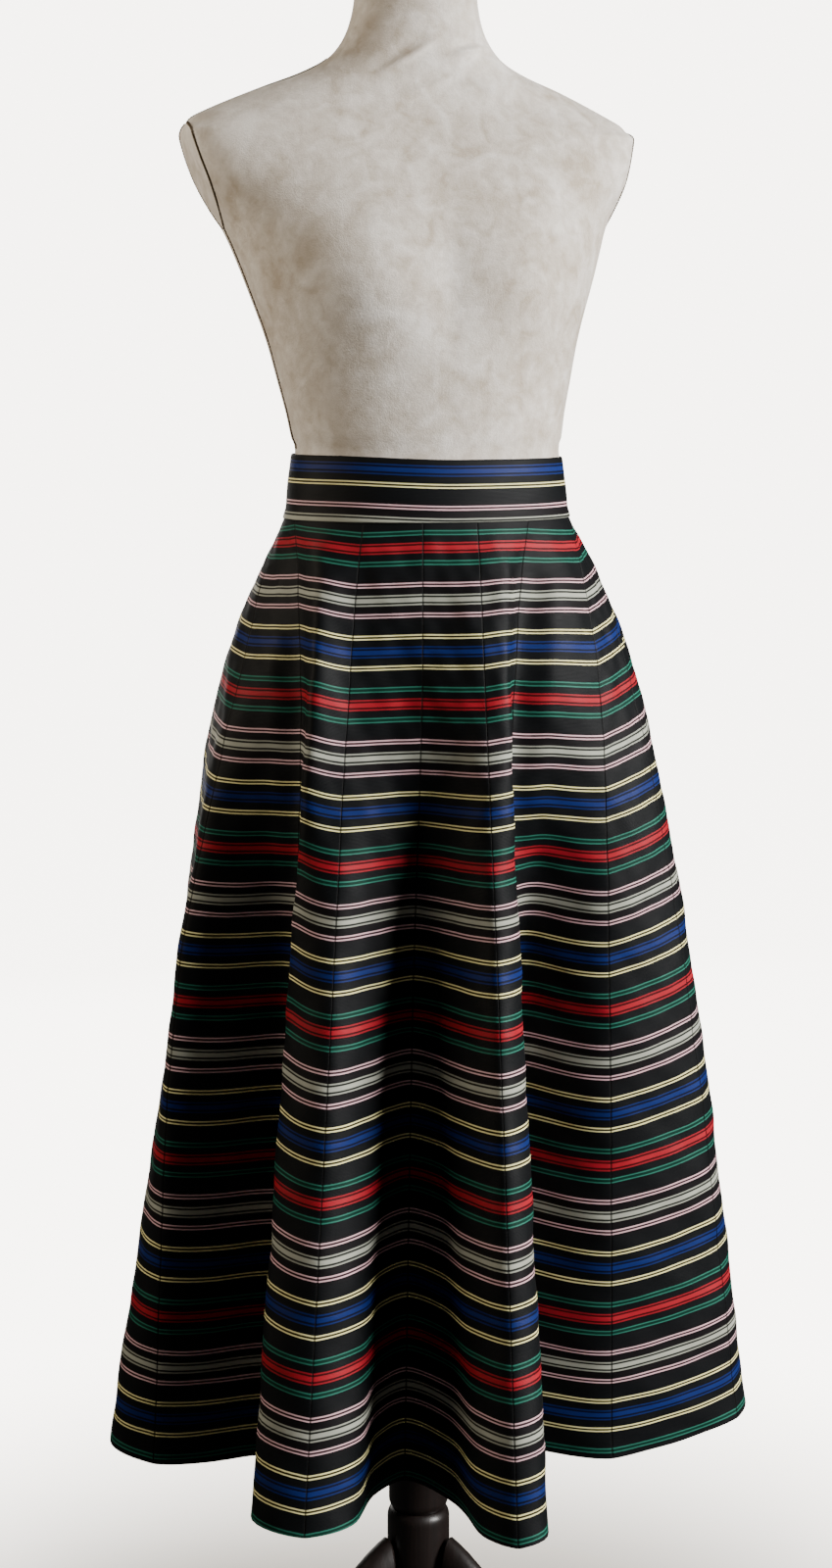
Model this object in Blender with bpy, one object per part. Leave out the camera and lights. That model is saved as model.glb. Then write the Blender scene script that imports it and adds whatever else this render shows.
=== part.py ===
import math

import bmesh
import bpy
import numpy as np

# Driving dimensions, in metres. The skirt's front faces -Y, the floor is z = 0.
BAND_TOP_Z = 1.170
BAND_HEIGHT = 0.057
BAND_WALL = 0.0024
BAND_TOP_HALF_WIDTH = 0.1228
BAND_TOP_HALF_DEPTH = 0.0880
BAND_LOW_HALF_WIDTH = 0.1283
BAND_LOW_HALF_DEPTH = 0.0925
# The band's lap, the ramp up to it and the level stretch before it, as shares of one turn.
BAND_LAP = 0.040
BAND_RAMP = 0.035
BAND_RAMP_END = 0.004
BAND_STATIONS = 88

GORE_LENGTH = 0.830
GORE_WALL = 0.0012
GORE_COLUMNS = 6
GORE_ROWS = 17
FLARE = math.radians(7.0)
ROW_SPREAD = 1.12
# How much faster than a plain curve the cloth leaves the waist outwards.
WAIST_SWELL = 1.45
# The surface is worked out in fine steps down the gores, to a little below the hem.
FINE_LENGTH = 0.860
FINE_STEPS = 86
# A step drops by at least this share of its length, however far it travels sideways.
LEAST_DROP = 0.3
CURVE_STEPS = 24

# The placket covers these columns and rows of the gore under it, and starts a little lower.
PLACKET_COLUMNS = 2
PLACKET_ROWS = 6
PLACKET_DROP = 0.12

# What neighbouring pieces keep clear of each other.
GAP = 0.0003

FORM_TURN = math.radians(14.0)
WAIST_FORWARD = 0.033
FORM_SIDES = 36
BUST_RISE = 0.012
BUST_OUT = 0.078
BUST_Z = 1.335
BUST_SPREAD = 0.052

NECK_TOP_Z = 1.606
CAP_HEIGHT = 0.014
SMOOTH_ANGLE = math.radians(40.0)

POST_SIDES = 28
LEG_COUNT = 3
LEG_TURN = math.radians(-150.0)
LEG_SIDES = 10

# Heights along the gore, down the straight grain, at which the folds table gives places.
LEVELS = {"waist": 0.0, "hip": 0.158, "knee": 0.429, "hem": GORE_LENGTH}

# One row for each seam and for each fold edge that lies between two seams, going round from the
# front to the wearer's left. Columns: name, kind of seam, place on the waist in degrees from the
# front, then how far right (x) and how far forward (f) it lies at hip, knee and hem.
# A straight seam joins two straight-grain edges, a flared seam two flared edges, a fold is no seam.
FOLDS = [
    # name, kind, waist, hip x, hip f, knee x, knee f, hem x, hem f
    ("front", "straight", 2.0, -0.005, 0.104, -0.013, 0.076, -0.020, 0.083),
    ("right_foot", "fold", 8.0, 0.010, 0.107, 0.006, 0.087, 0.020, 0.116),
    ("right_flank", "fold", 14.0, 0.022, 0.110, 0.021, 0.105, 0.047, 0.181),
    ("right_ridge", "flared", 23.5, 0.049, 0.116, 0.060, 0.145, 0.073, 0.199),
    ("right_edge", "fold", 35.0, 0.068, 0.112, 0.080, 0.122, 0.097, 0.186),
    ("right_inner", "straight", 48.0, 0.074, 0.084, 0.071, 0.052, 0.083, 0.080),
    ("right_corner", "fold", 66.0, 0.108, 0.080, 0.076, 0.028, 0.070, 0.018),
    ("right_panel", "flared", 85.0, 0.150, 0.050, 0.159, 0.048, 0.163, 0.024),
    ("right_side", "straight", 105.0, 0.178, 0.014, 0.229, 0.008, 0.279, -0.035),
    ("right_outer", "fold", 115.0, 0.184, -0.010, 0.238, -0.030, 0.290, -0.070),
    ("right_back", "flared", 126.0, 0.183, -0.042, 0.222, -0.090, 0.262, -0.155),
    ("right_hollow", "straight", 144.0, 0.147, -0.084, 0.142, -0.088, 0.150, -0.105),
    ("right_tail", "flared", 162.0, 0.082, -0.114, 0.098, -0.160, 0.115, -0.235),
    ("back", "straight", 180.0, 0.000, -0.125, 0.000, -0.130, -0.005, -0.165),
    ("left_tail", "flared", 200.0, -0.082, -0.114, -0.100, -0.162, -0.122, -0.240),
    ("left_hollow", "straight", 219.0, -0.146, -0.080, -0.140, -0.085, -0.142, -0.092),
    ("left_back", "flared", 237.0, -0.180, -0.042, -0.218, -0.098, -0.268, -0.172),
    ("left_side", "straight", 252.0, -0.183, -0.008, -0.223, -0.018, -0.274, -0.035),
    ("left_outer", "fold", 260.0, -0.178, 0.024, -0.221, 0.028, -0.276, 0.044),
    ("left_panel", "flared", 270.0, -0.166, 0.052, -0.218, 0.063, -0.238, 0.063),
    ("left_corner", "fold", 281.0, -0.137, 0.078, -0.124, 0.050, -0.135, 0.034),
    ("left_inner", "straight", 297.0, -0.109, 0.090, -0.115, 0.060, -0.122, 0.062),
    ("left_edge", "fold", 318.0, -0.098, 0.121, -0.120, 0.102, -0.146, 0.160),
    ("left_ridge", "flared", 338.0, -0.068, 0.108, -0.082, 0.132, -0.102, 0.180),
    ("left_flank", "fold", 348.0, -0.037, 0.104, -0.048, 0.103, -0.062, 0.161),
    ("left_foot", "fold", 355.0, -0.020, 0.103, -0.031, 0.085, -0.045, 0.108),
]

# How much longer than GORE_LENGTH the gores are cut at each seam.
HEM_EXTRA = {
    "front": -0.001,
    "right_ridge": 0.006,
    "right_inner": 0.007,
    "right_panel": 0.009,
    "right_side": 0.021,
    "right_back": 0.011,
    "right_hollow": 0.003,
    "right_tail": 0.001,
    "back": -0.001,
    "left_tail": 0.001,
    "left_hollow": 0.001,
    "left_back": 0.002,
    "left_side": 0.002,
    "left_panel": 0.003,
    "left_inner": 0.007,
    "left_ridge": 0.003,
}

# The form's level sections from the bottom up. Columns: height, half width, depth in front,
# depth behind, how far its middle lies ahead of the post, and how square the section is.
FORM_SECTIONS = [
    # z, half width, front, back, ahead, square
    (0.900, 0.128, 0.056, 0.078, 0.018, 2.1),
    (0.906, 0.138, 0.064, 0.086, 0.018, 2.1),
    (0.930, 0.147, 0.072, 0.088, 0.020, 2.05),
    (0.965, 0.153, 0.077, 0.092, 0.022, 2.0),
    (1.005, 0.153, 0.080, 0.092, 0.025, 2.0),
    (1.045, 0.1435, 0.081, 0.090, 0.028, 2.0),
    (1.085, 0.1300, 0.083, 0.087, 0.031, 2.0),
    (1.108, 0.1250, 0.0868, 0.0868, 0.033, 2.0),
    (1.173, 0.1195, 0.0847, 0.0847, 0.033, 2.0),
    (1.180, 0.1222, 0.0872, 0.0860, 0.032, 2.0),
    (1.205, 0.1260, 0.0900, 0.0850, 0.030, 2.0),
    (1.235, 0.1320, 0.0940, 0.0850, 0.026, 2.05),
    (1.270, 0.1400, 0.0990, 0.0860, 0.020, 2.1),
    (1.310, 0.1530, 0.1040, 0.0900, 0.012, 2.15),
    (1.350, 0.1680, 0.1040, 0.0960, 0.004, 2.2),
    (1.385, 0.1840, 0.0990, 0.0990, -0.003, 2.3),
    (1.415, 0.1960, 0.0910, 0.0980, -0.007, 2.5),
    (1.440, 0.2040, 0.0820, 0.0930, -0.011, 2.6),
    (1.458, 0.2075, 0.0740, 0.0860, -0.013, 2.6),
    (1.466, 0.2030, 0.0700, 0.0820, -0.013, 2.4),
    (1.474, 0.1880, 0.0660, 0.0780, -0.013, 2.3),
    (1.484, 0.1660, 0.0620, 0.0740, -0.013, 2.2),
    (1.496, 0.1370, 0.0590, 0.0700, -0.012, 2.1),
    (1.508, 0.1060, 0.0560, 0.0650, -0.010, 2.0),
    (1.520, 0.0830, 0.0545, 0.0600, -0.008, 2.0),
    (1.534, 0.0690, 0.0525, 0.0560, -0.006, 2.0),
    (1.552, 0.0600, 0.0505, 0.0530, -0.006, 2.0),
    (1.578, 0.0550, 0.0495, 0.0510, -0.005, 2.0),
    (NECK_TOP_Z, 0.0555, 0.0500, 0.0510, -0.005, 2.0),
]

# The neck cap's rings from the bottom up, as pairs of height above the neck and share of its width.
CAP_RINGS = [
    (GAP, 0.97),
    (0.45 * CAP_HEIGHT, 0.97),
    (0.80 * CAP_HEIGHT, 0.85),
    (CAP_HEIGHT, 0.55),
]

# Turned outlines, as pairs of radius and height from the top down.
POST_PROFILE = [
    (0.0267, 0.8997),
    (0.0267, 0.2440),
    (0.0261, 0.2360),
    (0.0238, 0.2302),
]
HUB_PROFILE = [
    (0.0238, 0.2299),
    (0.0272, 0.2265),
    (0.0280, 0.2215),
    (0.0280, 0.1300),
    (0.0300, 0.1200),
    (0.0285, 0.1040),
    (0.0160, 0.0920),
]

# The middle line of a leg, from the hub outwards. Columns: distance from the post's axis,
# height, half width across, half height.
LEG_LINE = [
    # out, z, half width, half height
    (0.0283, 0.166, 0.0150, 0.0320),
    (0.0460, 0.155, 0.0155, 0.0260),
    (0.0700, 0.129, 0.0150, 0.0220),
    (0.0980, 0.102, 0.0142, 0.0185),
    (0.1300, 0.075, 0.0135, 0.0160),
    (0.1650, 0.053, 0.0125, 0.0140),
    (0.2020, 0.037, 0.0130, 0.0130),
    (0.2380, 0.028, 0.0140, 0.0130),
]
LEG_FOOT_OUT = 0.262
LEG_FOOT_HALF_WIDTH = 0.0150
LEG_FOOT_HALF_LENGTH = 0.0200
# The foot's rings from its top down, as pairs of height and share of its width.
LEG_FOOT_RINGS = [
    (0.020, 1.00),
    (0.003, 1.08),
    (0.000, 1.00),
]

# Columns: name, colour, roughness, metallic.
MATERIALS = [
    ("striped_cloth", (0.035, 0.035, 0.040), 0.42, 0.0),
    ("form_cover", (0.550, 0.500, 0.450), 0.90, 0.0),
    ("dark_wood", (0.018, 0.012, 0.010), 0.35, 0.0),
]

SEAMS = [row for row in FOLDS if row[1] != "fold"]


def clear_scene():
    for old in list(bpy.data.objects):
        bpy.data.objects.remove(old, do_unlink=True)


def make_material(name, colour, roughness, metallic):
    material = bpy.data.materials.new(name)
    material.use_nodes = True
    shader = material.node_tree.nodes["Principled BSDF"]
    shader.inputs["Base Color"].default_value = (*colour, 1.0)
    shader.inputs["Roughness"].default_value = roughness
    shader.inputs["Metallic"].default_value = metallic
    return material


def add_object(name, bm, material):
    bmesh.ops.recalc_face_normals(bm, faces=bm.faces)
    mesh = bpy.data.meshes.new(name)
    bm.to_mesh(mesh)
    bm.free()
    mesh.shade_smooth()
    mesh.set_sharp_from_angle(angle=SMOOTH_ANGLE)
    mesh.materials.append(material)
    made = bpy.data.objects.new(name, mesh)
    bpy.context.scene.collection.objects.link(made)


def hermite(p0, m0, p1, m1, s):
    # A cubic from p0 to p1 with end slopes m0 and m1, at the fraction s.
    s2 = s * s
    s3 = s2 * s
    return (2 * s3 - 3 * s2 + 1) * p0 + (s3 - 2 * s2 + s) * m0 + (3 * s2 - 2 * s3) * p1 + (s3 - s2) * m1


def blend_down(knots, values, v):
    # Reads a smooth curve through the values that a table gives at its levels.
    count = len(knots)
    slopes = []
    for i in range(count):
        low = max(i - 1, 0)
        high = min(i + 1, count - 1)
        slopes.append((values[high] - values[low]) / (knots[high] - knots[low]))
    slopes[0] = slopes[0] * WAIST_SWELL
    i = min(max(int(np.searchsorted(knots, v)) - 1, 0), count - 2)
    span = knots[i + 1] - knots[i]
    s = (v - knots[i]) / span
    return hermite(values[i], slopes[i] * span, values[i + 1], slopes[i + 1] * span, s)


def oval_point(half_width, half_depth, degrees):
    # A point of the waist's oval, which is turned with the form, at an angle from the front.
    angle = math.radians(degrees) - FORM_TURN
    x = half_width * math.sin(angle)
    y = -half_depth * math.cos(angle)
    return np.array([x * math.cos(FORM_TURN) - y * math.sin(FORM_TURN),
                     x * math.sin(FORM_TURN) + y * math.cos(FORM_TURN)])


def control_ring(v):
    # The folds table read at one height along the gores: one (x, y) for each row.
    knots = list(LEVELS.values())
    ring = []
    for name, kind, waist, hip_x, hip_f, knee_x, knee_f, hem_x, hem_f in FOLDS:
        at_waist = oval_point(BAND_LOW_HALF_WIDTH, BAND_LOW_HALF_DEPTH, waist)
        values = [at_waist, np.array([hip_x, -hip_f]), np.array([knee_x, -knee_f]), np.array([hem_x, -hem_f])]
        ring.append(blend_down(knots, values, v))
    return np.array(ring)


def ring_slopes(ring):
    # Spans and slopes of a closed centripetal spline through the ring's points.
    after = np.roll(ring, -1, axis=0) - ring
    spans = np.sqrt(np.linalg.norm(after, axis=1))
    before = np.roll(after, 1, axis=0)
    spans_before = np.roll(spans, 1)
    both = (after + before) / (spans + spans_before)[:, None]
    return spans, before / spans_before[:, None] - both + after / spans[:, None]


def gore_line(ring, spans, slopes, first, last, columns):
    # The stretch of the ring from one seam to the next, cut into equal steps of length.
    line = []
    count = len(ring)
    for i in range(first, last):
        a = i % count
        b = (i + 1) % count
        for step in range(CURVE_STEPS):
            share = step / CURVE_STEPS
            line.append(hermite(ring[a], slopes[a] * spans[a], ring[b], slopes[b] * spans[a], share))
    line.append(ring[last % count])
    line = np.array(line)
    lengths = np.concatenate([[0.0], np.cumsum(np.linalg.norm(np.diff(line, axis=0), axis=1))])
    wanted = np.linspace(0.0, lengths[-1], columns + 1)
    return np.column_stack([np.interp(wanted, lengths, line[:, k]) for k in range(2)])


def seam_rows():
    return [i for i, row in enumerate(FOLDS) if row[1] != "fold"]


def column_lengths(columns):
    # How far down the straight grain each column is cut, read between the seams of its gore.
    lengths = []
    for k, row in enumerate(SEAMS):
        here = HEM_EXTRA[row[0]]
        there = HEM_EXTRA[SEAMS[(k + 1) % len(SEAMS)][0]]
        for c in range(columns):
            lengths.append(GORE_LENGTH + here + (there - here) * c / columns)
    return lengths


def skirt_surface(columns, rows):
    # The cloth's outer surface as points [row][column], closed round the body. Each column
    # keeps its own length, so a column that travels further sideways drops less.
    starts = seam_rows()
    levels = np.linspace(0.0, FINE_LENGTH, FINE_STEPS + 1)
    plan = []
    for v in levels:
        ring = control_ring(v)
        spans, slopes = ring_slopes(ring)
        around = []
        for k, first in enumerate(starts):
            last = starts[k + 1] if k + 1 < len(starts) else len(FOLDS) + starts[0]
            around.append(gore_line(ring, spans, slopes, first, last, columns)[:-1])
        plan.append(np.concatenate(around))
    plan = np.array(plan)
    stretch = column_stretch(columns)
    heights = np.zeros(plan.shape[:2])
    heights[0] = BAND_TOP_Z - BAND_HEIGHT - GAP
    for k in range(1, len(levels)):
        step = (levels[k] - levels[k - 1]) * stretch
        across = np.linalg.norm(plan[k] - plan[k - 1], axis=1)
        drop = np.sqrt(np.maximum(step ** 2 - across ** 2, (LEAST_DROP * step) ** 2))
        heights[k] = heights[k - 1] - drop
    fine = np.dstack([plan, heights])
    shares = (np.arange(rows + 1) / rows) ** ROW_SPREAD
    points = np.zeros((rows + 1, *fine.shape[1:]))
    for c, length in enumerate(column_lengths(columns)):
        for axis in range(3):
            points[:, c, axis] = np.interp(length * shares, levels, fine[:, c, axis])
    return points


def column_stretch(columns):
    # A column's length for each metre of straight grain: it grows towards the flared seam.
    stretch = []
    for k, row in enumerate(SEAMS):
        for c in range(columns):
            share = c / columns if row[1] == "straight" else 1.0 - c / columns
            stretch.append(math.hypot(1.0, share * math.tan(FLARE)))
    return np.array(stretch)


def surface_normals(points):
    around = np.roll(points, -1, axis=1) - np.roll(points, 1, axis=1)
    down = np.gradient(points, axis=0)
    normals = np.cross(down, around)
    return normals / np.linalg.norm(normals, axis=2)[:, :, None]


def wall_mesh(outer, inner):
    # A thin wall between two grids of points, closed along its four edges.
    bm = bmesh.new()
    rows = len(outer)
    columns = len(outer[0])
    front = [[bm.verts.new(outer[r][c]) for c in range(columns)] for r in range(rows)]
    rear = [[bm.verts.new(inner[r][c]) for c in range(columns)] for r in range(rows)]
    for r in range(rows - 1):
        for c in range(columns - 1):
            bm.faces.new((front[r][c], front[r + 1][c], front[r + 1][c + 1], front[r][c + 1]))
            bm.faces.new((rear[r][c], rear[r][c + 1], rear[r + 1][c + 1], rear[r + 1][c]))
    for c in range(columns - 1):
        bm.faces.new((front[0][c], front[0][c + 1], rear[0][c + 1], rear[0][c]))
        bm.faces.new((front[-1][c + 1], front[-1][c], rear[-1][c], rear[-1][c + 1]))
    for r in range(rows - 1):
        bm.faces.new((front[r + 1][0], front[r][0], rear[r][0], rear[r + 1][0]))
        bm.faces.new((front[r][-1], front[r + 1][-1], rear[r + 1][-1], rear[r][-1]))
    bmesh.ops.triangulate(bm, faces=bm.faces)
    return bm


def gore_grids(points, normals, k):
    # One gore's outer points and outward directions, drawn in at both seams by half the gap.
    count = points.shape[1]
    picks = [(k * GORE_COLUMNS + c) % count for c in range(GORE_COLUMNS + 1)]
    grid = points[:, picks].copy()
    out = normals[:, picks]
    for edge, inward in ((0, 1), (-1, -2)):
        along = grid[:, inward] - grid[:, edge]
        along -= out[:, edge] * np.sum(along * out[:, edge], axis=1)[:, None]
        grid[:, edge] += along / np.linalg.norm(along, axis=1)[:, None] * GAP / 2
    return grid, out


def build_gores(material):
    points = skirt_surface(GORE_COLUMNS, GORE_ROWS)
    normals = surface_normals(points)
    for k, row in enumerate(SEAMS):
        grid, out = gore_grids(points, normals, k)
        add_object("gore_" + row[0], wall_mesh(grid, grid - out * GORE_WALL), material)
    return points, normals


def build_placket(points, normals, material):
    # The lap that covers the opening at the centre back, made from the points of the gore under it.
    k = [row[0] for row in SEAMS].index("back")
    grid, out = gore_grids(points, normals, k)
    rows = slice(0, PLACKET_ROWS + 1)
    columns = slice(0, PLACKET_COLUMNS + 1)
    base = grid[rows, columns] + out[rows, columns] * GAP
    base[0] += (base[1] - base[0]) * PLACKET_DROP
    add_object("back_placket", wall_mesh(base + out[rows, columns] * GORE_WALL, base), material)


def build_waistband(material):
    # A straight strip once round the waist, whose end laps over its start at the centre back.
    outer = []
    inner = []
    total = BAND_STATIONS + int(round(BAND_STATIONS * BAND_LAP)) + 1
    for k in range(total):
        share = k / BAND_STATIONS
        rise = min(max((share - 1.0 + BAND_RAMP) / (BAND_RAMP - BAND_RAMP_END), 0.0), 1.0)
        lift = (BAND_WALL + GAP) * rise * rise * (3.0 - 2.0 * rise)
        degrees = 180.0 + 360.0 * share
        rows_out = []
        rows_in = []
        for z, width, depth in ((BAND_TOP_Z, BAND_TOP_HALF_WIDTH, BAND_TOP_HALF_DEPTH),
                                (BAND_TOP_Z - BAND_HEIGHT, BAND_LOW_HALF_WIDTH, BAND_LOW_HALF_DEPTH)):
            rows_out.append((*oval_point(width + lift, depth + lift, degrees), z))
            rows_in.append((*oval_point(width + lift - BAND_WALL, depth + lift - BAND_WALL, degrees), z))
        outer.append(rows_out)
        inner.append(rows_in)
    add_object("waistband", wall_mesh(np.array(outer), np.array(inner)), material)


def form_point(section, angle):
    # A point of one of the form's sections, with the bust's soft rise in front.
    z, half_width, front, back, ahead, square = section
    sine = math.sin(angle)
    cosine = math.cos(angle)
    power = 2.0 / square
    x = half_width * math.copysign(abs(sine) ** power, sine)
    depth = front if cosine > 0 else back
    y = -depth * math.copysign(abs(cosine) ** power, cosine)
    if cosine > 0:
        near = math.exp(-((abs(x) - BUST_OUT) ** 2 + (z - BUST_Z) ** 2) / (2 * BUST_SPREAD ** 2))
        y -= BUST_RISE * near * cosine ** 0.5
    y += WAIST_FORWARD - ahead
    turned_x = x * math.cos(FORM_TURN) - y * math.sin(FORM_TURN)
    turned_y = x * math.sin(FORM_TURN) + y * math.cos(FORM_TURN)
    return (turned_x, turned_y, z)


def lofted_mesh(rings):
    # Closed rings joined in turn, with the two ends filled.
    bm = bmesh.new()
    loops = [[bm.verts.new(p) for p in ring] for ring in rings]
    count = len(rings[0])
    for low, high in zip(loops[:-1], loops[1:]):
        for i in range(count):
            j = (i + 1) % count
            bm.faces.new((low[i], low[j], high[j], high[i]))
    bm.faces.new(list(reversed(loops[0])))
    bm.faces.new(loops[-1])
    bmesh.ops.triangulate(bm, faces=bm.faces)
    return bm


def build_form(material):
    angles = [2 * math.pi * k / FORM_SIDES for k in range(FORM_SIDES)]
    rings = [[form_point(section, angle) for angle in angles] for section in FORM_SECTIONS]
    add_object("dress_form", lofted_mesh(rings), material)


def build_neck_cap(material):
    top = FORM_SECTIONS[-1]
    angles = [2 * math.pi * k / FORM_SIDES for k in range(FORM_SIDES)]
    rings = []
    for rise, share in CAP_RINGS:
        section = (top[0] + rise, top[1] * share, top[2] * share, top[3] * share, top[4], top[5])
        rings.append([form_point(section, angle) for angle in angles])
    add_object("neck_cap", lofted_mesh(rings), material)


def post_centre():
    # The post stands behind the middle of the waist, in the direction the form faces.
    return (-WAIST_FORWARD * math.sin(FORM_TURN), WAIST_FORWARD * math.cos(FORM_TURN))


def turned_mesh(profile):
    # A solid of revolution about the post's axis, spun from its outline.
    x, y = post_centre()
    bm = bmesh.new()
    line = [bm.verts.new((x, y, profile[0][1]))]
    line += [bm.verts.new((x + radius, y, z)) for radius, z in profile]
    line.append(bm.verts.new((x, y, profile[-1][1])))
    edges = [bm.edges.new(pair) for pair in zip(line[:-1], line[1:])]
    bmesh.ops.spin(bm, geom=line + edges, cent=(x, y, 0.0), axis=(0.0, 0.0, 1.0),
                   angle=2 * math.pi, steps=POST_SIDES, use_merge=True)
    bmesh.ops.remove_doubles(bm, verts=bm.verts, dist=0.00001)
    bmesh.ops.triangulate(bm, faces=bm.faces)
    return bm


def leg_mesh(turn):
    # Rings of an oval section along the leg's line, ending in a flat foot on the floor.
    x0, y0 = post_centre()
    rings = []
    count = len(LEG_LINE)
    for k, (out, z, half_width, half_height) in enumerate(LEG_LINE):
        before = LEG_LINE[max(k - 1, 0)]
        after = LEG_LINE[min(k + 1, count - 1)]
        run = after[0] - before[0]
        fall = after[1] - before[1]
        length = math.hypot(run, fall)
        up = (-fall / length, run / length) if k else (0.0, 1.0)
        ring = []
        for i in range(LEG_SIDES):
            angle = 2 * math.pi * i / LEG_SIDES
            side = half_width * math.cos(angle)
            rise = half_height * math.sin(angle)
            ring.append((out + up[0] * rise, side, z + up[1] * rise))
        rings.append(ring)
    for height, share in LEG_FOOT_RINGS:
        ring = []
        for i in range(LEG_SIDES):
            angle = 2 * math.pi * i / LEG_SIDES
            out = LEG_FOOT_OUT + share * LEG_FOOT_HALF_LENGTH * math.sin(angle)
            ring.append((out, share * LEG_FOOT_HALF_WIDTH * math.cos(angle), height))
        rings.append(ring)
    placed = []
    for ring in rings:
        placed.append([(x0 + out * math.cos(turn) - side * math.sin(turn),
                        y0 + out * math.sin(turn) + side * math.cos(turn), z) for out, side, z in ring])
    return lofted_mesh(placed)


def build_stand(material):
    add_object("post", turned_mesh(POST_PROFILE), material)
    add_object("hub", turned_mesh(HUB_PROFILE), material)
    for k in range(LEG_COUNT):
        turn = LEG_TURN + 2 * math.pi * k / LEG_COUNT
        add_object("leg_%d" % (k + 1), leg_mesh(turn), material)


def centre_over_origin():
    # Moves the whole part so that its box stands centred over the origin, on the floor.
    low = np.full(3, np.inf)
    high = np.full(3, -np.inf)
    for made in bpy.data.objects:
        corners = np.array([vertex.co for vertex in made.data.vertices])
        low = np.minimum(low, corners.min(axis=0))
        high = np.maximum(high, corners.max(axis=0))
    for made in bpy.data.objects:
        for vertex in made.data.vertices:
            vertex.co.x -= (low[0] + high[0]) / 2
            vertex.co.y -= (low[1] + high[1]) / 2
            vertex.co.z -= low[2]


def main():
    clear_scene()
    cloth, cover, wood = [make_material(*row) for row in MATERIALS]
    points, normals = build_gores(cloth)
    build_placket(points, normals, cloth)
    build_waistband(cloth)
    build_form(cover)
    build_neck_cap(cover)
    build_stand(wood)
    centre_over_origin()


main()
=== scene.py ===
import math

import bpy
import numpy as np
from mathutils import Matrix, Vector


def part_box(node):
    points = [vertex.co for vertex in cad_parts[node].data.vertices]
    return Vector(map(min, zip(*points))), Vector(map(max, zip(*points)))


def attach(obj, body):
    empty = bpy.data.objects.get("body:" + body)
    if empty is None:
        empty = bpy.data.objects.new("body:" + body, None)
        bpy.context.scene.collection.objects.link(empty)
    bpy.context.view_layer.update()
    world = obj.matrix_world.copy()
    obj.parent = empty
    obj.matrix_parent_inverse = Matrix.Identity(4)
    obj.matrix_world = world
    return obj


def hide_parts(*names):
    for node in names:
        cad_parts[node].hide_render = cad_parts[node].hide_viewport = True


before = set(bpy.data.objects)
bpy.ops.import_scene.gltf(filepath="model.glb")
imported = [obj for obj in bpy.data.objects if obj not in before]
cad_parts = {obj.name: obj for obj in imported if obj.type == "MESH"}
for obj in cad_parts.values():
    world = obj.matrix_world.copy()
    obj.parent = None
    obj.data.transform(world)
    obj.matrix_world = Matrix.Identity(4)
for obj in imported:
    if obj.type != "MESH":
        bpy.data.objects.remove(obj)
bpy.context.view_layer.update()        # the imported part, which stays where it is
print("frame loaded with", len(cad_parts), "nodes")


# Camera: level, at the photo's eye height, with the horizon above the middle of the frame

cameraSettings = {
    "place": (-0.0160, -2.3574, 1.235),
    "focalPixels": 2629.0,
    "horizonRow": 385.0,
    "photoHeight": 1600.0,
    "sensor": 36.0,
    "reach": 200.0,
}


def addObject(name, data):
    made = bpy.data.objects.new(name, data)
    bpy.context.scene.collection.objects.link(made)
    return made


def addCamera(settings):
    data = bpy.data.cameras.new("camera")
    camera = addObject("camera", data)
    camera.location = settings["place"]
    camera.rotation_euler = (math.radians(90.0), 0.0, 0.0)
    height = settings["photoHeight"]
    data.sensor_width = settings["sensor"]
    data.lens = settings["sensor"] * settings["focalPixels"] / height
    data.shift_y = (settings["horizonRow"] - height / 2) / height
    data.clip_end = settings["reach"]
    bpy.context.scene.camera = camera


addCamera(cameraSettings)


# Shader tools

def srgb(red, green, blue):
    # a colour read as 0 to 255 becomes the linear one that a shader takes
    values = [c / 255.0 for c in (red, green, blue)]
    linear = [c / 12.92 if c <= 0.04045 else ((c + 0.055) / 1.055) ** 2.4 for c in values]
    return (*linear, 1.0)


class Sock:
    # one output of a node: sums and products of these add Math nodes

    def __init__(self, paint, socket):
        self.paint = paint
        self.socket = socket

    def maths(self, operation, *terms):
        return self.paint.node("ShaderNodeMath", {"operation": operation}, dict(enumerate(terms)))

    def __add__(self, other):
        return self.maths("ADD", self, other)

    def __radd__(self, other):
        return self.maths("ADD", other, self)

    def __sub__(self, other):
        return self.maths("SUBTRACT", self, other)

    def __rsub__(self, other):
        return self.maths("SUBTRACT", other, self)

    def __mul__(self, other):
        return self.maths("MULTIPLY", self, other)

    def __rmul__(self, other):
        return self.maths("MULTIPLY", other, self)

    def __abs__(self):
        return self.maths("ABSOLUTE", self)

    def limited(self):
        return self.paint.node("ShaderNodeClamp", {}, {"Value": self})


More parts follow.
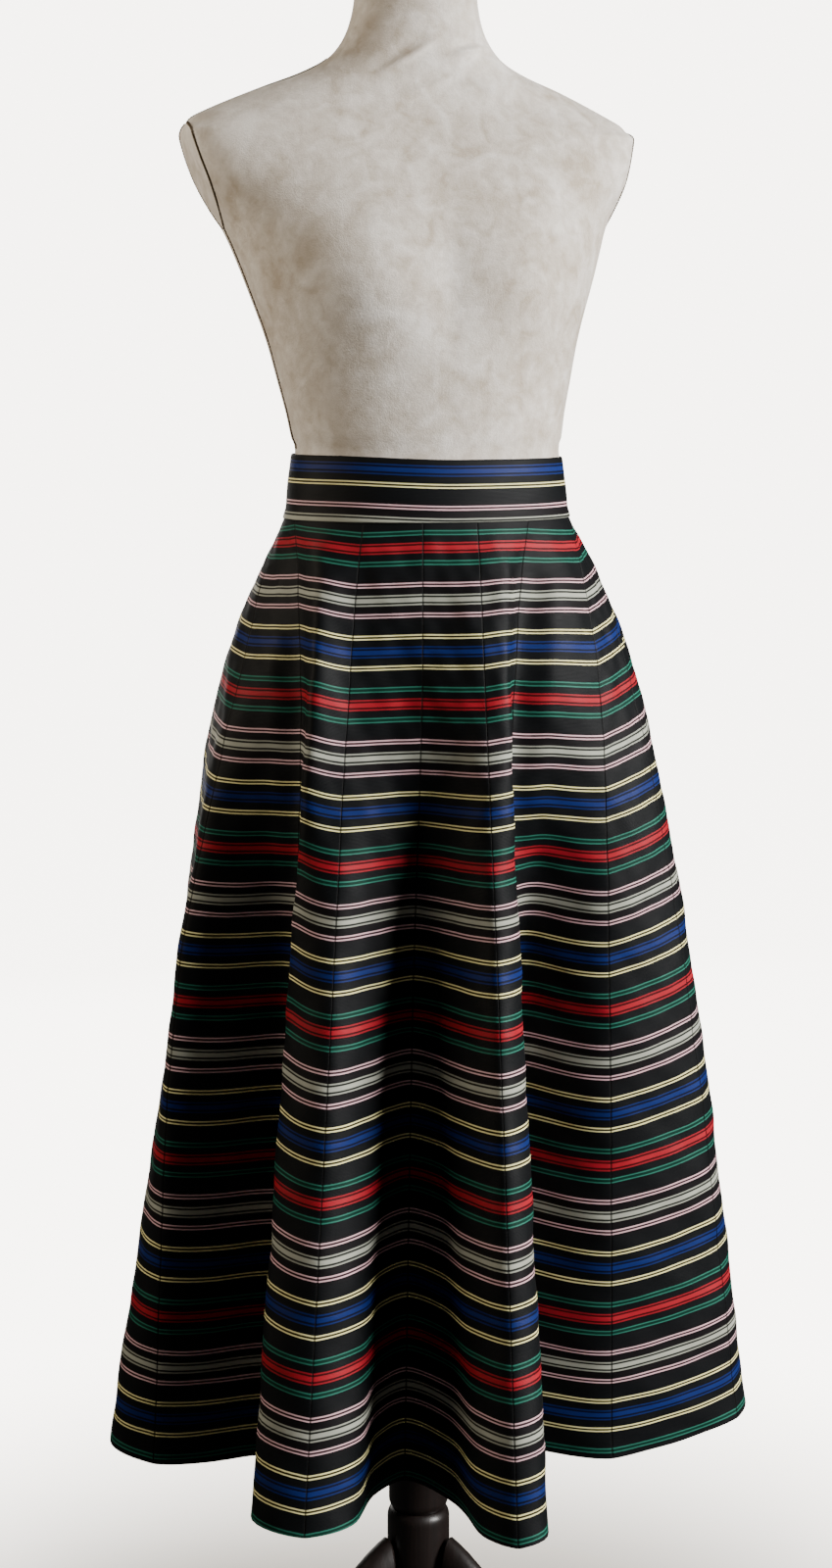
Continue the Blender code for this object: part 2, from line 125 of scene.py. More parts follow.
class Paint:
    # one material, built from calls to node

    def __init__(self, name):
        self.material = bpy.data.materials.new(name)
        self.material.use_nodes = True
        self.tree = self.material.node_tree
        self.tree.nodes.clear()

    def node(self, kind, settings, sockets, output=0):
        made = self.tree.nodes.new(kind)
        for key, value in settings.items():
            setattr(made, key, value)
        for key, value in sockets.items():
            if isinstance(value, Sock):
                self.tree.links.new(value.socket, made.inputs[key])
            else:
                made.inputs[key].default_value = value
        return Sock(self, made.outputs[output]) if len(made.outputs) else None

    def mix(self, share, first, second):
        return self.node("ShaderNodeMix", {"data_type": "RGBA"}, {0: share, 6: first, 7: second}, 2)

    def shaded(self, colour, tone):
        # a colour taken lighter or darker by one number
        grey = self.node("ShaderNodeCombineXYZ", {}, {0: tone, 1: tone, 2: tone})
        return self.node("ShaderNodeVectorMath", {"operation": "MULTIPLY"}, {0: colour, 1: grey})

    def coords(self, stretch=(1.0, 1.0, 1.0)):
        place = self.node("ShaderNodeTexCoord", {}, {}, "Object")
        return self.node("ShaderNodeVectorMath", {"operation": "MULTIPLY"}, {0: place, 1: stretch})

    def noise(self, vector, scale, detail=2.0, distortion=0.0):
        return self.node("ShaderNodeTexNoise", {}, {"Vector": vector, "Scale": scale, "Detail": detail,
                                                    "Distortion": distortion})

    def finish(self, colour, roughness, height, depth, constants):
        normal = self.node("ShaderNodeBump", {}, {"Height": height, "Distance": depth, "Strength": 1.0})
        sockets = {"Base Color": colour, "Roughness": roughness, "Normal": normal, **constants}
        shader = self.node("ShaderNodeBsdfPrincipled", {}, sockets)
        self.node("ShaderNodeOutputMaterial", {}, {"Surface": shader})
        return self.material


# The striped cloth. Its pattern follows an attribute: across the gore, down the grain, and the
# distance to the nearest edge of the piece, in metres.

stripes = {
    "repeat": 0.1355,
    "start": 0.0228,        # the first red stripe, below the top of the gores
    "lead": 0.05,           # share of a repeat that is drawn above the red stripe
    "soft": 0.0003,
    "ground": srgb(4, 6, 8),
    "groundWarm": srgb(9, 6, 8),
    "warmPlace": 0.333,
    "warmReach": 0.128,
    "warmSoft": 0.004,
    "edgeLine": 0.86,       # how bright the outer lines of a band are beside its core
}

# A band is a core with a dark gap and a thin bright line on each side. A pair is two lines and
# the gap between them. Columns: colour name, kind, place in the repeat.
stripeRows = [
    ("red", "band", 0.000),
    ("green", "widePair", 0.097),
    ("pink", "pair", 0.236),
    ("grey", "band", 0.333),
    ("pink", "pair", 0.431),
    ("yellow", "pair", 0.569),
    ("blue", "band", 0.665),
    ("yellow", "pair", 0.765),
    ("green", "widePair", 0.9045),
]

# Columns: bright colour, colour of the gaps.
stripeColours = {
    "red": (srgb(150, 24, 36), srgb(52, 2, 6)),
    "green": (srgb(36, 100, 84), srgb(1, 40, 30)),
    "pink": (srgb(214, 174, 180), srgb(46, 26, 30)),
    "grey": (srgb(154, 156, 144), srgb(26, 28, 24)),
    "yellow": (srgb(236, 228, 164), srgb(42, 36, 12)),
    "blue": (srgb(15, 33, 90), srgb(1, 6, 30)),
}

bandForm = {"core": 0.0019, "line": 0.0041, "lineHalf": 0.00062, "outer": 0.0047}
# Columns: how far each line lies from the middle, half its width.
pairForm = {"pair": (0.00140, 0.00058), "widePair": (0.00168, 0.00056)}


def within(distance, half, soft):
    # 1 nearer than half, 0 farther off, with a soft step between
    return ((half + soft / 2 - distance) * (1.0 / soft)).limited()


def stripeMasks(down, kind, centre):
    # the bright threads of one stripe, and the whole width that it takes
    away = abs(down - centre)
    soft = stripes["soft"]
    if kind == "band":
        core = within(away, bandForm["core"], soft)
        line = within(abs(away - bandForm["line"]), bandForm["lineHalf"], soft)
        return core + line * stripes["edgeLine"], within(away, bandForm["outer"], soft)
    place, half = pairForm[kind]
    line = within(abs(away - place), half, soft)
    return line, within(away, place, soft)


# Streaks along the weft, whose lighter colour is painted sheen, slow clouds of painted sheen, fine ribs,
# and a line of painted shade at each seam
weave = {
    "streaks": (60.0, 2600.0, 0.0, 2.0),    # times in a metre across and down, start, detail
    "clouds": (55.0, 120.0, 3.0, 3.0),
    "tone": 0.62,
    "streakSheen": 0.36,
    "cloudSheen": 0.36,
    "seamShadeHalf": 0.0007,
    "seamSoft": 0.0008,
    "seamShade": 0.85,
    "rib": 0.0011,
    "ribHeight": 0.35,
    "streakHeight": 0.8,
    "satinHeight": 0.5,
    "roughness": 0.56,
    "satinSmooth": 0.08,
    "cloudRough": 0.12,
    "depth": 0.00010,
    "shader": {"Specular IOR Level": 0.12},
}


def weaveNoise(paint, across, down, timesAcross, timesDown, start, detail):
    place = paint.node("ShaderNodeCombineXYZ", {}, {0: across * timesAcross, 1: down * timesDown, 2: start})
    return paint.noise(place, 1.0, detail)


def makeCloth(name):
    paint = Paint(name)
    grain = paint.node("ShaderNodeAttribute", {"attribute_name": "grain"}, {}, "Vector")
    across, down, edge = [paint.node("ShaderNodeSeparateXYZ", {}, {0: grain}, k) for k in range(3)]
    repeat = stripes["repeat"]
    phase = (down - stripes["start"]) * (1.0 / repeat) + stripes["lead"]
    inRepeat = phase.maths("FRACT", phase) * repeat
    warmMiddle = (stripes["warmPlace"] + stripes["lead"]) * repeat
    warm = within(abs(inRepeat - warmMiddle), stripes["warmReach"] * repeat, stripes["warmSoft"])
    colour = paint.mix(warm, stripes["ground"], stripes["groundWarm"])
    satin = 0.0
    for family, (bright, dark) in stripeColours.items():
        brightMask = 0.0
        wholeMask = 0.0
        for rowName, kind, place in stripeRows:
            if rowName == family:
                lines, whole = stripeMasks(inRepeat, kind, (place + stripes["lead"]) * repeat)
                brightMask = lines + brightMask
                wholeMask = whole + wholeMask
        colour = paint.mix(wholeMask, colour, dark)
        colour = paint.mix(brightMask, colour, bright)
        satin = brightMask + satin
    satin = satin.limited()
    streaks = weaveNoise(paint, across, down, *weave["streaks"])
    clouds = weaveNoise(paint, across, down, *weave["clouds"])
    # the streaks and clouds lighten the colour: painted sheen
    tone = weave["tone"] + weave["streakSheen"] * streaks + weave["cloudSheen"] * clouds
    # a darker line along each seam: painted shade where the gores meet
    seam = within(edge, weave["seamShadeHalf"], weave["seamSoft"])
    colour = paint.shaded(colour, tone * (1.0 - weave["seamShade"] * seam))
    ribs = down.maths("SINE", down * (2 * math.pi / weave["rib"]))
    height = ribs * weave["ribHeight"] + streaks * weave["streakHeight"] + satin * weave["satinHeight"]
    roughness = weave["roughness"] - weave["satinSmooth"] * satin + weave["cloudRough"] * clouds
    return paint.finish(colour, roughness, height, weave["depth"], weave["shader"])


# Brushed suede: pale and dark strokes of the nap over a warm grey
cover = {
    "strokes": (34.0, 6.0, 0.9),            # a pattern's scale, detail and distortion
    "strokeStretch": (1.0, 1.0, 0.8),
    "dabs": (90.0, 4.0, 0.6),
    "blots": (8.0, 4.0, 0.3),
    "grit": (1300.0, 1.0),
    "specks": (480.0, 2.0),
    "strokeNap": 1.7,
    "dabNap": 1.1,
    "blotNap": 1.4,
    "napCut": 1.6,
    "brushedDown": srgb(170, 158, 142),
    "brushedUp": srgb(216, 210, 202),
    "tone": 0.78,
    "gritTone": 0.24,
    "speckTone": 0.20,
    "gritHeight": 0.5,
    "speckHeight": 0.5,
    "strokeHeight": 1.2,
    "roughness": 0.94,
    "napSmooth": 0.06,
    "depth": 0.0006,
    "shader": {"Specular IOR Level": 0.15, "Sheen Weight": 0.2, "Sheen Roughness": 0.5},
}


def makeCover(name):
    paint = Paint(name)
    place = paint.coords()
    strokes = paint.noise(paint.coords(cover["strokeStretch"]), *cover["strokes"])
    dabs, blots = [paint.noise(place, *cover[each]) for each in ("dabs", "blots")]
    grit, specks = [paint.noise(place, *cover[each]) for each in ("grit", "specks")]
    nap = strokes * cover["strokeNap"] + dabs * cover["dabNap"] + blots * cover["blotNap"] - cover["napCut"]
    nap = nap.limited()
    tone = cover["tone"] + cover["gritTone"] * grit + cover["speckTone"] * specks
    colour = paint.shaded(paint.mix(nap, cover["brushedDown"], cover["brushedUp"]), tone)
    height = grit * cover["gritHeight"] + specks * cover["speckHeight"] + strokes * cover["strokeHeight"]
    roughness = cover["roughness"] - cover["napSmooth"] * nap
    return paint.finish(colour, roughness, height, cover["depth"], cover["shader"])


# The overcast thread along the form's seams
thread = {
    "twist": (700.0, 2.0),
    "dark": srgb(58, 48, 36),
    "pale": srgb(100, 86, 66),
    "roughness": 0.9,
    "twistSmooth": 0.1,
    "depth": 0.0006,
    "shader": {"Specular IOR Level": 0.2},
}


def makeThread(name):
    paint = Paint(name)
    twist = paint.noise(paint.coords(), *thread["twist"])
    colour = paint.mix(twist, thread["dark"], thread["pale"])
    roughness = thread["roughness"] - thread["twistSmooth"] * twist
    return paint.finish(colour, roughness, twist, thread["depth"], thread["shader"])


wood = {
    "fibres": (260.0, 4.0, 0.4),
    "fibreStretch": (1.0, 1.0, 0.045),
    "bands": (46.0, 3.0, 1.2),
    "bandStretch": (1.0, 1.0, 0.12),
    "wear": (30.0, 3.0),
    "fibreShare": 0.8,
    "bandShare": 0.7,
    "cut": 0.35,
    "dark": srgb(11, 7, 6),
    "pale": srgb(30, 20, 17),
    "roughness": 0.34,
    "wearRough": 0.18,
    "fibreHeight": 0.7,
    "bandHeight": 0.3,
    "depth": 0.0003,
    "shader": {"Specular IOR Level": 0.35, "Coat Weight": 0.12, "Coat Roughness": 0.25},
}


def makeWood(name):
    paint = Paint(name)
    fibres = paint.noise(paint.coords(wood["fibreStretch"]), *wood["fibres"])
    bands = paint.noise(paint.coords(wood["bandStretch"]), *wood["bands"])
    wear = paint.noise(paint.coords(), *wood["wear"])
    figure = (fibres * wood["fibreShare"] + bands * wood["bandShare"] - wood["cut"]).limited()
    colour = paint.mix(figure, wood["dark"], wood["pale"])
    height = fibres * wood["fibreHeight"] + bands * wood["bandHeight"]
    roughness = wood["roughness"] + wood["wearRough"] * wear
    return paint.finish(colour, roughness, height, wood["depth"], wood["shader"])


clothPaint = makeCloth("striped_cloth")
coverPaint = makeCover("form_cover")
threadPaint = makeThread("form_thread")
woodPaint = makeWood("dark_wood")
print("materials made")


# Mesh tools

def deselectAll():
    for each in bpy.context.selected_objects:
        each.select_set(False)


def recalcNormals(piece):
    deselectAll()
    piece.select_set(True)
    bpy.context.view_layer.objects.active = piece
    bpy.ops.object.mode_set(mode="EDIT")
    bpy.ops.mesh.select_all(action="SELECT")
    bpy.ops.mesh.normals_make_consistent(inside=False)
    bpy.ops.object.mode_set(mode="OBJECT")


def settle(piece, node):
    # a finished piece rides on the part's one body and stands for a node, where there is one
    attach(piece, "root")
    if node:
        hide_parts(node)


def placePiece(name, points, faces, paint, node, angle=50.0):
    mesh = bpy.data.meshes.new(name)
    mesh.from_pydata([tuple(p) for p in points], [], faces)
    mesh.update()
    mesh.shade_smooth()
    mesh.set_sharp_from_angle(angle=math.radians(angle))
    mesh.materials.append(paint)
    piece = addObject(name, mesh)
    settle(piece, node)
    return piece


def quads(*corners):
    return np.stack(corners, axis=-1).reshape(-1, 4).tolist()


def wallFaces(rows, columns):
    # the faces of a closed wall between an outer and an inner grid of points
    near = np.arange(rows * columns).reshape(rows, columns)
    rear = near + rows * columns
    faces = quads(near[:-1, :-1], near[1:, :-1], near[1:, 1:], near[:-1, 1:])
    faces += quads(rear[:-1, :-1], rear[:-1, 1:], rear[1:, 1:], rear[1:, :-1])
    for rim, back in ((near[0], rear[0]), (near[:, -1], rear[:, -1])):
        faces += quads(rim[:-1], rim[1:], back[1:], back[:-1])
    for rim, back in ((near[-1], rear[-1]), (near[:, 0], rear[:, 0])):
        faces += quads(rim[1:], rim[:-1], back[:-1], back[1:])
    return faces


def addWall(name, outer, inner, grain, paint, node):
    rows, columns = outer.shape[:2]
    points = np.concatenate([outer.reshape(-1, 3), inner.reshape(-1, 3)])
    piece = placePiece(name, points, wallFaces(rows, columns), paint, node)
    values = np.concatenate([grain.reshape(-1, 3)] * 2).astype(np.float32)
    attribute = piece.data.attributes.new("grain", "FLOAT_VECTOR", "POINT")
    attribute.data.foreach_set("vector", values.ravel())
    return piece


def addTube(name, grid, paint, node, angle):
    # a closed piece from a grid of rings, with flat ends
    rings, sides = grid.shape[:2]
    index = np.arange(rings * sides).reshape(rings, sides)
    following = np.roll(index, -1, axis=1)
    faces = quads(index[:-1], following[:-1], following[1:], index[1:])
    faces += [index[0][::-1].tolist(), index[-1].tolist()]
    return placePiece(name, grid.reshape(-1, 3), faces, paint, node, angle)


def hermite(p0, m0, p1, m1, s):
    s2 = s * s
    s3 = s2 * s
    return (2 * s3 - 3 * s2 + 1) * p0 + (s3 - 2 * s2 + s) * m0 + (3 * s2 - 2 * s3) * p1 + (s3 - s2) * m1


def readDown(knots, values, place, firstSlope=1.0):
    # a smooth curve through a table's values, read at one place
    count = len(knots)
    i = min(max(int(np.searchsorted(knots, place)) - 1, 0), count - 2)
    slopes = []
    for j in (i, i + 1):
        low = max(j - 1, 0)
        high = min(j + 1, count - 1)
        slopes.append((values[high] - values[low]) / (knots[high] - knots[low]))
    if i == 0:
        slopes[0] = slopes[0] * firstSlope
    span = knots[i + 1] - knots[i]
    s = (place - knots[i]) / span
    return hermite(values[i], slopes[0] * span, values[i + 1], slopes[1] * span, s)


def bump(t):
    # a smooth step from 0 to 1
    t = np.clip(t, 0.0, 1.0)
    return t * t * (3.0 - 2.0 * t)


def nearLine(points, start, end):
    # distance of each point to a line's stretch, and how far along it lies, from 0 to 1
    run = end - start
    along = np.clip(((points - start) @ run) / (run @ run), 0.0, 1.0)
    nearest = start + along[..., None] * run
    return np.linalg.norm(points - nearest, axis=-1), along


def creaseRise(points, start, end, rise, width, shape):
    # what a soft crease adds: most along its middle, less beside it and towards its ends
    away, along = nearLine(points, start, end)
    margin = shape["margin"]
    along = np.sin(math.pi * (margin + (1.0 - 2.0 * margin) * along)) ** shape["fullness"]
    return rise * np.exp(-(away / width) ** 2) * along


def lengthsAlong(path):
    return np.concatenate([[0.0], np.cumsum(np.linalg.norm(np.diff(path, axis=0), axis=1))])


def pointsAlong(path, lengths, wanted):
    return np.column_stack([np.interp(wanted, lengths, axis) for axis in path.T])


# The form's turn and its post, which the waist of the skirt follows

form = {
    "turn": math.radians(14.0),
    "waistForward": 0.033,
    "sides": 144,
    "sharp": 60.0,          # degrees over which an edge of the cover stays sharp
    "bustRise": 0.019,
    "bustOut": 0.080,
    "bustZ": 1.330,
    "bustSpread": 0.047,
    "plateLow": 1.364,
    "plateTaper": 0.055,
    "plateHigh": 1.462,
    "plateProud": 0.010,
    "plateFall": 0.010,
}


def turned(x, y):
    c = math.cos(form["turn"])
    s = math.sin(form["turn"])
    return x * c - y * s, x * s + y * c


def partOffset():
    # from the tables' own centre to the frame's: both know the middle of the post
    low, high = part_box("post")
    x, y = turned(0.0, form["waistForward"])
    return np.array([(low.x + high.x) / 2 - x, (low.y + high.y) / 2 - y, 0.0])


offset = partOffset()


# The skirt. One row for each seam and fold edge, from the front round by the wearer's left: name,
# kind, place on the waist in degrees, then how far right (x) and forward (f) at three levels.
# In the names of the gores, right and left are as the camera sees them.

folds = [
    # name, kind, waist, hip x, hip f, knee x, knee f, hem x, hem f
    ("front", "straight", 2.0, -0.005, 0.104, -0.013, 0.076, -0.020, 0.083),
    ("right_foot", "fold", 8.0, 0.010, 0.107, 0.006, 0.087, 0.020, 0.116),
    ("right_flank", "fold", 14.0, 0.022, 0.110, 0.021, 0.105, 0.047, 0.181),
    ("right_ridge", "flared", 23.5, 0.049, 0.116, 0.060, 0.145, 0.073, 0.199),
    ("right_edge", "fold", 35.0, 0.068, 0.112, 0.080, 0.122, 0.097, 0.186),
    ("right_inner", "straight", 48.0, 0.074, 0.084, 0.071, 0.052, 0.083, 0.080),
    ("right_corner", "fold", 66.0, 0.108, 0.080, 0.076, 0.028, 0.070, 0.018),
    ("right_panel", "flared", 85.0, 0.150, 0.050, 0.159, 0.048, 0.163, 0.024),
    ("right_side", "straight", 105.0, 0.178, 0.014, 0.229, 0.008, 0.279, -0.035),
    ("right_outer", "fold", 115.0, 0.184, -0.010, 0.238, -0.030, 0.290, -0.070),
    ("right_back", "flared", 126.0, 0.183, -0.042, 0.222, -0.090, 0.262, -0.155),
    ("right_hollow", "straight", 144.0, 0.147, -0.084, 0.142, -0.088, 0.150, -0.105),
    ("right_tail", "flared", 162.0, 0.082, -0.114, 0.098, -0.160, 0.115, -0.235),
    ("back", "straight", 180.0, 0.000, -0.125, 0.000, -0.130, -0.005, -0.165),
    ("left_tail", "flared", 200.0, -0.082, -0.114, -0.100, -0.162, -0.122, -0.240),
    ("left_hollow", "straight", 219.0, -0.146, -0.080, -0.140, -0.085, -0.142, -0.092),
    ("left_back", "flared", 237.0, -0.180, -0.042, -0.218, -0.098, -0.268, -0.172),
    ("left_side", "straight", 252.0, -0.183, -0.008, -0.223, -0.018, -0.274, -0.035),
    ("left_outer", "fold", 260.0, -0.178, 0.024, -0.221, 0.028, -0.276, 0.044),
    ("left_panel", "flared", 270.0, -0.166, 0.052, -0.218, 0.063, -0.238, 0.063),
    ("left_corner", "fold", 281.0, -0.137, 0.078, -0.124, 0.050, -0.135, 0.034),
    ("left_inner", "straight", 297.0, -0.109, 0.090, -0.115, 0.060, -0.122, 0.062),
    ("left_edge", "fold", 318.0, -0.098, 0.121, -0.120, 0.102, -0.146, 0.160),
    ("left_ridge", "flared", 338.0, -0.068, 0.108, -0.082, 0.132, -0.102, 0.180),
    ("left_flank", "fold", 348.0, -0.037, 0.104, -0.048, 0.103, -0.062, 0.161),
    ("left_foot", "fold", 355.0, -0.020, 0.103, -0.031, 0.085, -0.045, 0.108),
]
seams = [row for row in folds if row[1] != "fold"]
seamNames = [row[0] for row in seams]

skirt = {
    "length": 0.830,
    "levels": [0.0, 0.158, 0.429, 0.830],       # waist, hip, knee, hem
    "waistSwell": 1.45,     # how much faster than its plain slope the cloth leaves the waist
    "fineLength": 0.860,    # the surface is worked out to here, a little past the hem
    "fineRows": 216,
    "flare": math.radians(7.0),     # between a gore's flared edge and the straight grain
    "rows": 150,
    "steps": 24,            # base columns in a gore
    "leastDrop": 0.3,       # the least share of its length that a step of cloth goes down
    "gap": 0.0003,
    "cloth": 0.0007,
    "inside": 18,           # columns between the edge columns of a gore
    "edgeColumns": [-0.0004, 0.0002, 0.0007, 0.0015, 0.003, 0.006],     # the first is past the seam
    "seamDip": 0.0002,      # how deep the cloth dips at a seam, how deep past it, how far it reaches
    "seamDive": 0.0005,
    "seamReach": 0.0005,
    "allowance": 0.012,     # turned in along a seam, its share of extra thickness, and its step's width
    "seamThicker": 0.6,
    "seamStep": 0.001,
    "hemTurn": 0.034,       # the same at the hem
    "hemThicker": 0.7,
    "hemStep": 0.002,
    "shift": 0.37,          # of the weave's pattern from gore to gore
    "bandTopHalf": (0.1228, 0.0880),
    "bandLowHalf": (0.1283, 0.0925),
}
bandLow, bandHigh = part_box("waistband")

# How much longer than the skirt's length the gores are cut at each seam, and how much lower the
# stripes lie on the cut than the plain grain, both in millimetres.
dropLevels = [0.0, 0.158, 0.429, 0.700, 0.830]
seamCut = {
    # name: longer, then lower at waist, hip, knee, shin, hem
    "front": (-1.0, 1.0, -2.0, 0.5, 2.5, 0.0),
    "right_ridge": (6.0, 1.5, -0.5, 1.5, 8.5, 8.0),
    "right_inner": (7.0, 2.0, -2.0, 6.5, 9.0, 8.0),
    "right_panel": (9.0, 7.5, 11.5, 11.0, 14.0, 9.0),
    "right_side": (21.0, 5.0, 9.0, 9.0, 20.0, 21.0),
    "right_back": (11.0, 4.0, 6.0, 2.0, 6.0, 8.0),
    "right_hollow": (3.0, 3.0, 6.0, 6.0, 6.0, 4.0),
    "right_tail": (1.0, 2.0, 2.0, 2.0, 3.0, 2.0),
    "back": (-1.0, 2.0, 0.0, 0.0, 0.0, 0.0),
    "left_tail": (1.0, 2.0, 0.0, 0.0, 2.0, 2.0),
    "left_hollow": (1.0, 2.0, 1.0, 0.0, 2.0, 2.0),
    "left_back": (2.0, 3.0, 2.0, 2.0, 3.0, 3.0),
    "left_side": (2.0, 4.0, 3.0, 3.0, 4.0, 3.0),
    "left_panel": (3.0, 5.0, 4.4, 3.4, 5.0, 3.6),
    "left_inner": (7.0, -1.0, -3.0, 0.0, 5.0, 5.0),
    "left_ridge": (3.0, 3.5, -0.7, 0.0, 8.0, 9.0),
}


def waistPoint(half, degrees):
    # a place round the waist, on an ellipse with these half axes
    angle = math.radians(degrees) - form["turn"]
    return np.array(turned(half[0] * math.sin(angle), -half[1] * math.cos(angle)))


def controlRing(v):
    # every seam and fold edge at one level down the cloth
    ring = []
    for name, kind, waist, hipX, hipF, kneeX, kneeF, hemX, hemF in folds:
        values = [waistPoint(skirt["bandLowHalf"], waist), np.array([hipX, -hipF]),
                  np.array([kneeX, -kneeF]), np.array([hemX, -hemF])]
        ring.append(readDown(skirt["levels"], values, v, skirt["waistSwell"]))
    return np.array(ring)


def ringCurve(ring):
    # a closed centripetal curve through the ring, cut at the seams into equal steps of length
    after = np.roll(ring, -1, axis=0) - ring
    spans = np.sqrt(np.linalg.norm(after, axis=1))
    before = np.roll(after, 1, axis=0)
    spansBefore = np.roll(spans, 1)
    both = (after + before) / (spans + spansBefore)[:, None]
    slopes = before / spansBefore[:, None] - both + after / spans[:, None]
    count = len(folds)
    starts = [i for i, row in enumerate(folds) if row[1] != "fold"]
    shares = np.arange(skirt["steps"])[:, None] / skirt["steps"]
    around = []
    for first, last in zip(starts, starts[1:] + [count + starts[0]]):
        line = []
        for i in range(first, last):
            a = i % count
            b = (i + 1) % count
            line.append(hermite(ring[a], slopes[a] * spans[a], ring[b], slopes[b] * spans[a], shares))
        line = np.concatenate(line + [ring[last % count][None]])
        lengths = lengthsAlong(line)
        wanted = np.linspace(0.0, lengths[-1], skirt["steps"] + 1)[:-1]
        around.append(pointsAlong(line, lengths, wanted))
    return np.concatenate(around)


def cutAtEdges(k):
    # the rows of the cut for the two seams of a gore
    return [seamCut[seamNames[j % len(seams)]] for j in (k, k + 1)]


def goreEnds(k, shares):
    # how far down the straight grain a gore is cut, at places across it
    here, there = [row[0] / 1000.0 for row in cutAtEdges(k)]
    return skirt["length"] + here + (there - here) * shares


def goreDrops(k, shares, v):
    # how much lower the stripes lie, at places across a gore and down it
    here, there = [np.interp(v, dropLevels, row[1:]) / 1000.0 for row in cutAtEdges(k)]
    return here + (there - here) * shares


def skirtSurface():
    # worked out in fine rows to a little below the hem, then cut to each column's own length
    levels = np.linspace(0.0, skirt["fineLength"], skirt["fineRows"])
    plan = np.array([ringCurve(controlRing(v)) for v in levels])
    stretch = []
    for row in seams:
        for c in range(skirt["steps"]):
            share = c / skirt["steps"] if row[1] == "straight" else 1.0 - c / skirt["steps"]
            stretch.append(math.hypot(1.0, share * math.tan(skirt["flare"])))
    heights = np.zeros(plan.shape[:2])
    heights[0] = bandLow.z - skirt["gap"]
    for k in range(1, len(levels)):
        step = (levels[k] - levels[k - 1]) * np.array(stretch)
        across = np.linalg.norm(plan[k] - plan[k - 1], axis=1)
        least = (skirt["leastDrop"] * step) ** 2
        heights[k] = heights[k - 1] - np.sqrt(np.maximum(step ** 2 - across ** 2, least))
    fine = np.dstack([plan, heights]) + offset
    steps = skirt["steps"]
    ends = np.concatenate([goreEnds(k, np.arange(steps) / steps) for k in range(len(seams))])
    points = np.zeros((skirt["rows"], *fine.shape[1:]))
    for column, end in enumerate(ends):
        wanted = np.linspace(0.0, end, skirt["rows"])
        for axis in range(3):
            points[:, column, axis] = np.interp(wanted, levels, fine[:, column, axis])
    return points


def outwardOf(points):
    around = np.roll(points, -1, axis=1) - np.roll(points, 1, axis=1)
    normals = np.cross(np.gradient(points, axis=0), around)
    return normals / np.linalg.norm(normals, axis=2)[:, :, None]


skirtBase = skirtSurface()
skirtOut = outwardOf(skirtBase)
print("skirt surface worked out:", skirtBase.shape[0], "rows of", skirtBase.shape[1])


def sample(grid, row, position):
    # reads a closed row of points between its columns, smoothly
    count = grid.shape[1]
    i = np.floor(position).astype(int)
    t = (position - i)[:, None]
    p0, p1, p2, p3 = [grid[row, (i + k) % count] for k in (-1, 0, 1, 2)]
    return hermite(p1, (p2 - p0) / 2, p2, (p3 - p1) / 2, t)


def skirtPoint(gore, share, v):
    # one point of the cloth, named by its gore, its place across it and its place down it
    row = int(round(v / skirt["length"] * (skirt["rows"] - 1)))
    position = np.array([(seamNames.index(gore) + share) * skirt["steps"]])
    return sample(skirtBase, row, position)[0]


# Soft creases, each from one place on the cloth to another. A minus rise is a trough.
creases = [
    # gore, across, down, gore, across, down, rise, width
    ("left_inner", 0.35, 0.120, "left_ridge", 0.10, 0.175, 0.0016, 0.020),
    ("left_inner", 0.10, 0.060, "left_inner", 0.55, 0.150, -0.0012, 0.016),
    ("left_ridge", 0.30, 0.010, "left_ridge", 0.45, 0.110, 0.0009, 0.012),
    ("front", 0.35, 0.008, "front", 0.30, 0.095, -0.0009, 0.011),
    ("front", 0.75, 0.012, "front", 0.80, 0.130, 0.0008, 0.010),
    ("right_ridge", 0.40, 0.010, "right_ridge", 0.55, 0.120, 0.0010, 0.012),
    ("right_inner", 0.15, 0.010, "right_inner", 0.25, 0.140, -0.0010, 0.012),
    ("right_inner", 0.60, 0.030, "right_inner", 0.75, 0.190, 0.0012, 0.016),
    ("right_panel", 0.40, 0.020, "right_panel", 0.60, 0.150, -0.0009, 0.012),
    ("right_panel", 0.80, 0.150, "right_side", 0.20, 0.180, 0.0012, 0.009),
    ("right_panel", 0.78, 0.215, "right_side", 0.25, 0.240, 0.0010, 0.009),
    ("right_panel", 0.84, 0.285, "right_side", 0.18, 0.300, 0.0009, 0.008),
    ("left_panel", 0.30, 0.040, "left_panel", 0.55, 0.210, -0.0012, 0.018),
    ("left_panel", 0.60, 0.330, "left_panel", 0.45, 0.560, 0.0013, 0.022),
    ("right_back", 0.40, 0.020, "right_back", 0.55, 0.170, 0.0010, 0.013),
    ("right_hollow", 0.55, 0.015, "right_hollow", 0.45, 0.160, -0.0011, 0.014),
    ("right_tail", 0.30, 0.020, "right_tail", 0.50, 0.150, 0.0009, 0.012),
    ("back", 0.60, 0.015, "back", 0.55, 0.120, 0.0010, 0.012),
    ("left_tail", 0.45, 0.020, "left_tail", 0.35, 0.170, -0.0010, 0.014),
    ("left_hollow", 0.35, 0.020, "left_hollow", 0.55, 0.140, 0.0010, 0.012),
    ("left_back", 0.50, 0.025, "left_back", 0.45, 0.180, -0.0010, 0.012),
    ("left_side", 0.40, 0.030, "left_side", 0.60, 0.160, 0.0009, 0.011),
]
creaseEnds = [(skirtPoint(*row[0:3]), skirtPoint(*row[3:6]), row[6], row[7]) for row in creases]

# Slow waves of the cloth. Columns: height, waves round, waves down, start.
waves = [
    (0.00050, 11.0, 5.0, 0.3),
    (0.00040, 17.0, -8.0, 1.7),
    (0.00030, 29.0, 13.0, 4.1),
    (0.00022, 43.0, -21.0, 2.2),
]


creaseForm = {
    "margin": 0.08,
    "fullness": 0.8,
    "fadeIn": 0.03,         # length below the waist over which creases and waves grow
}


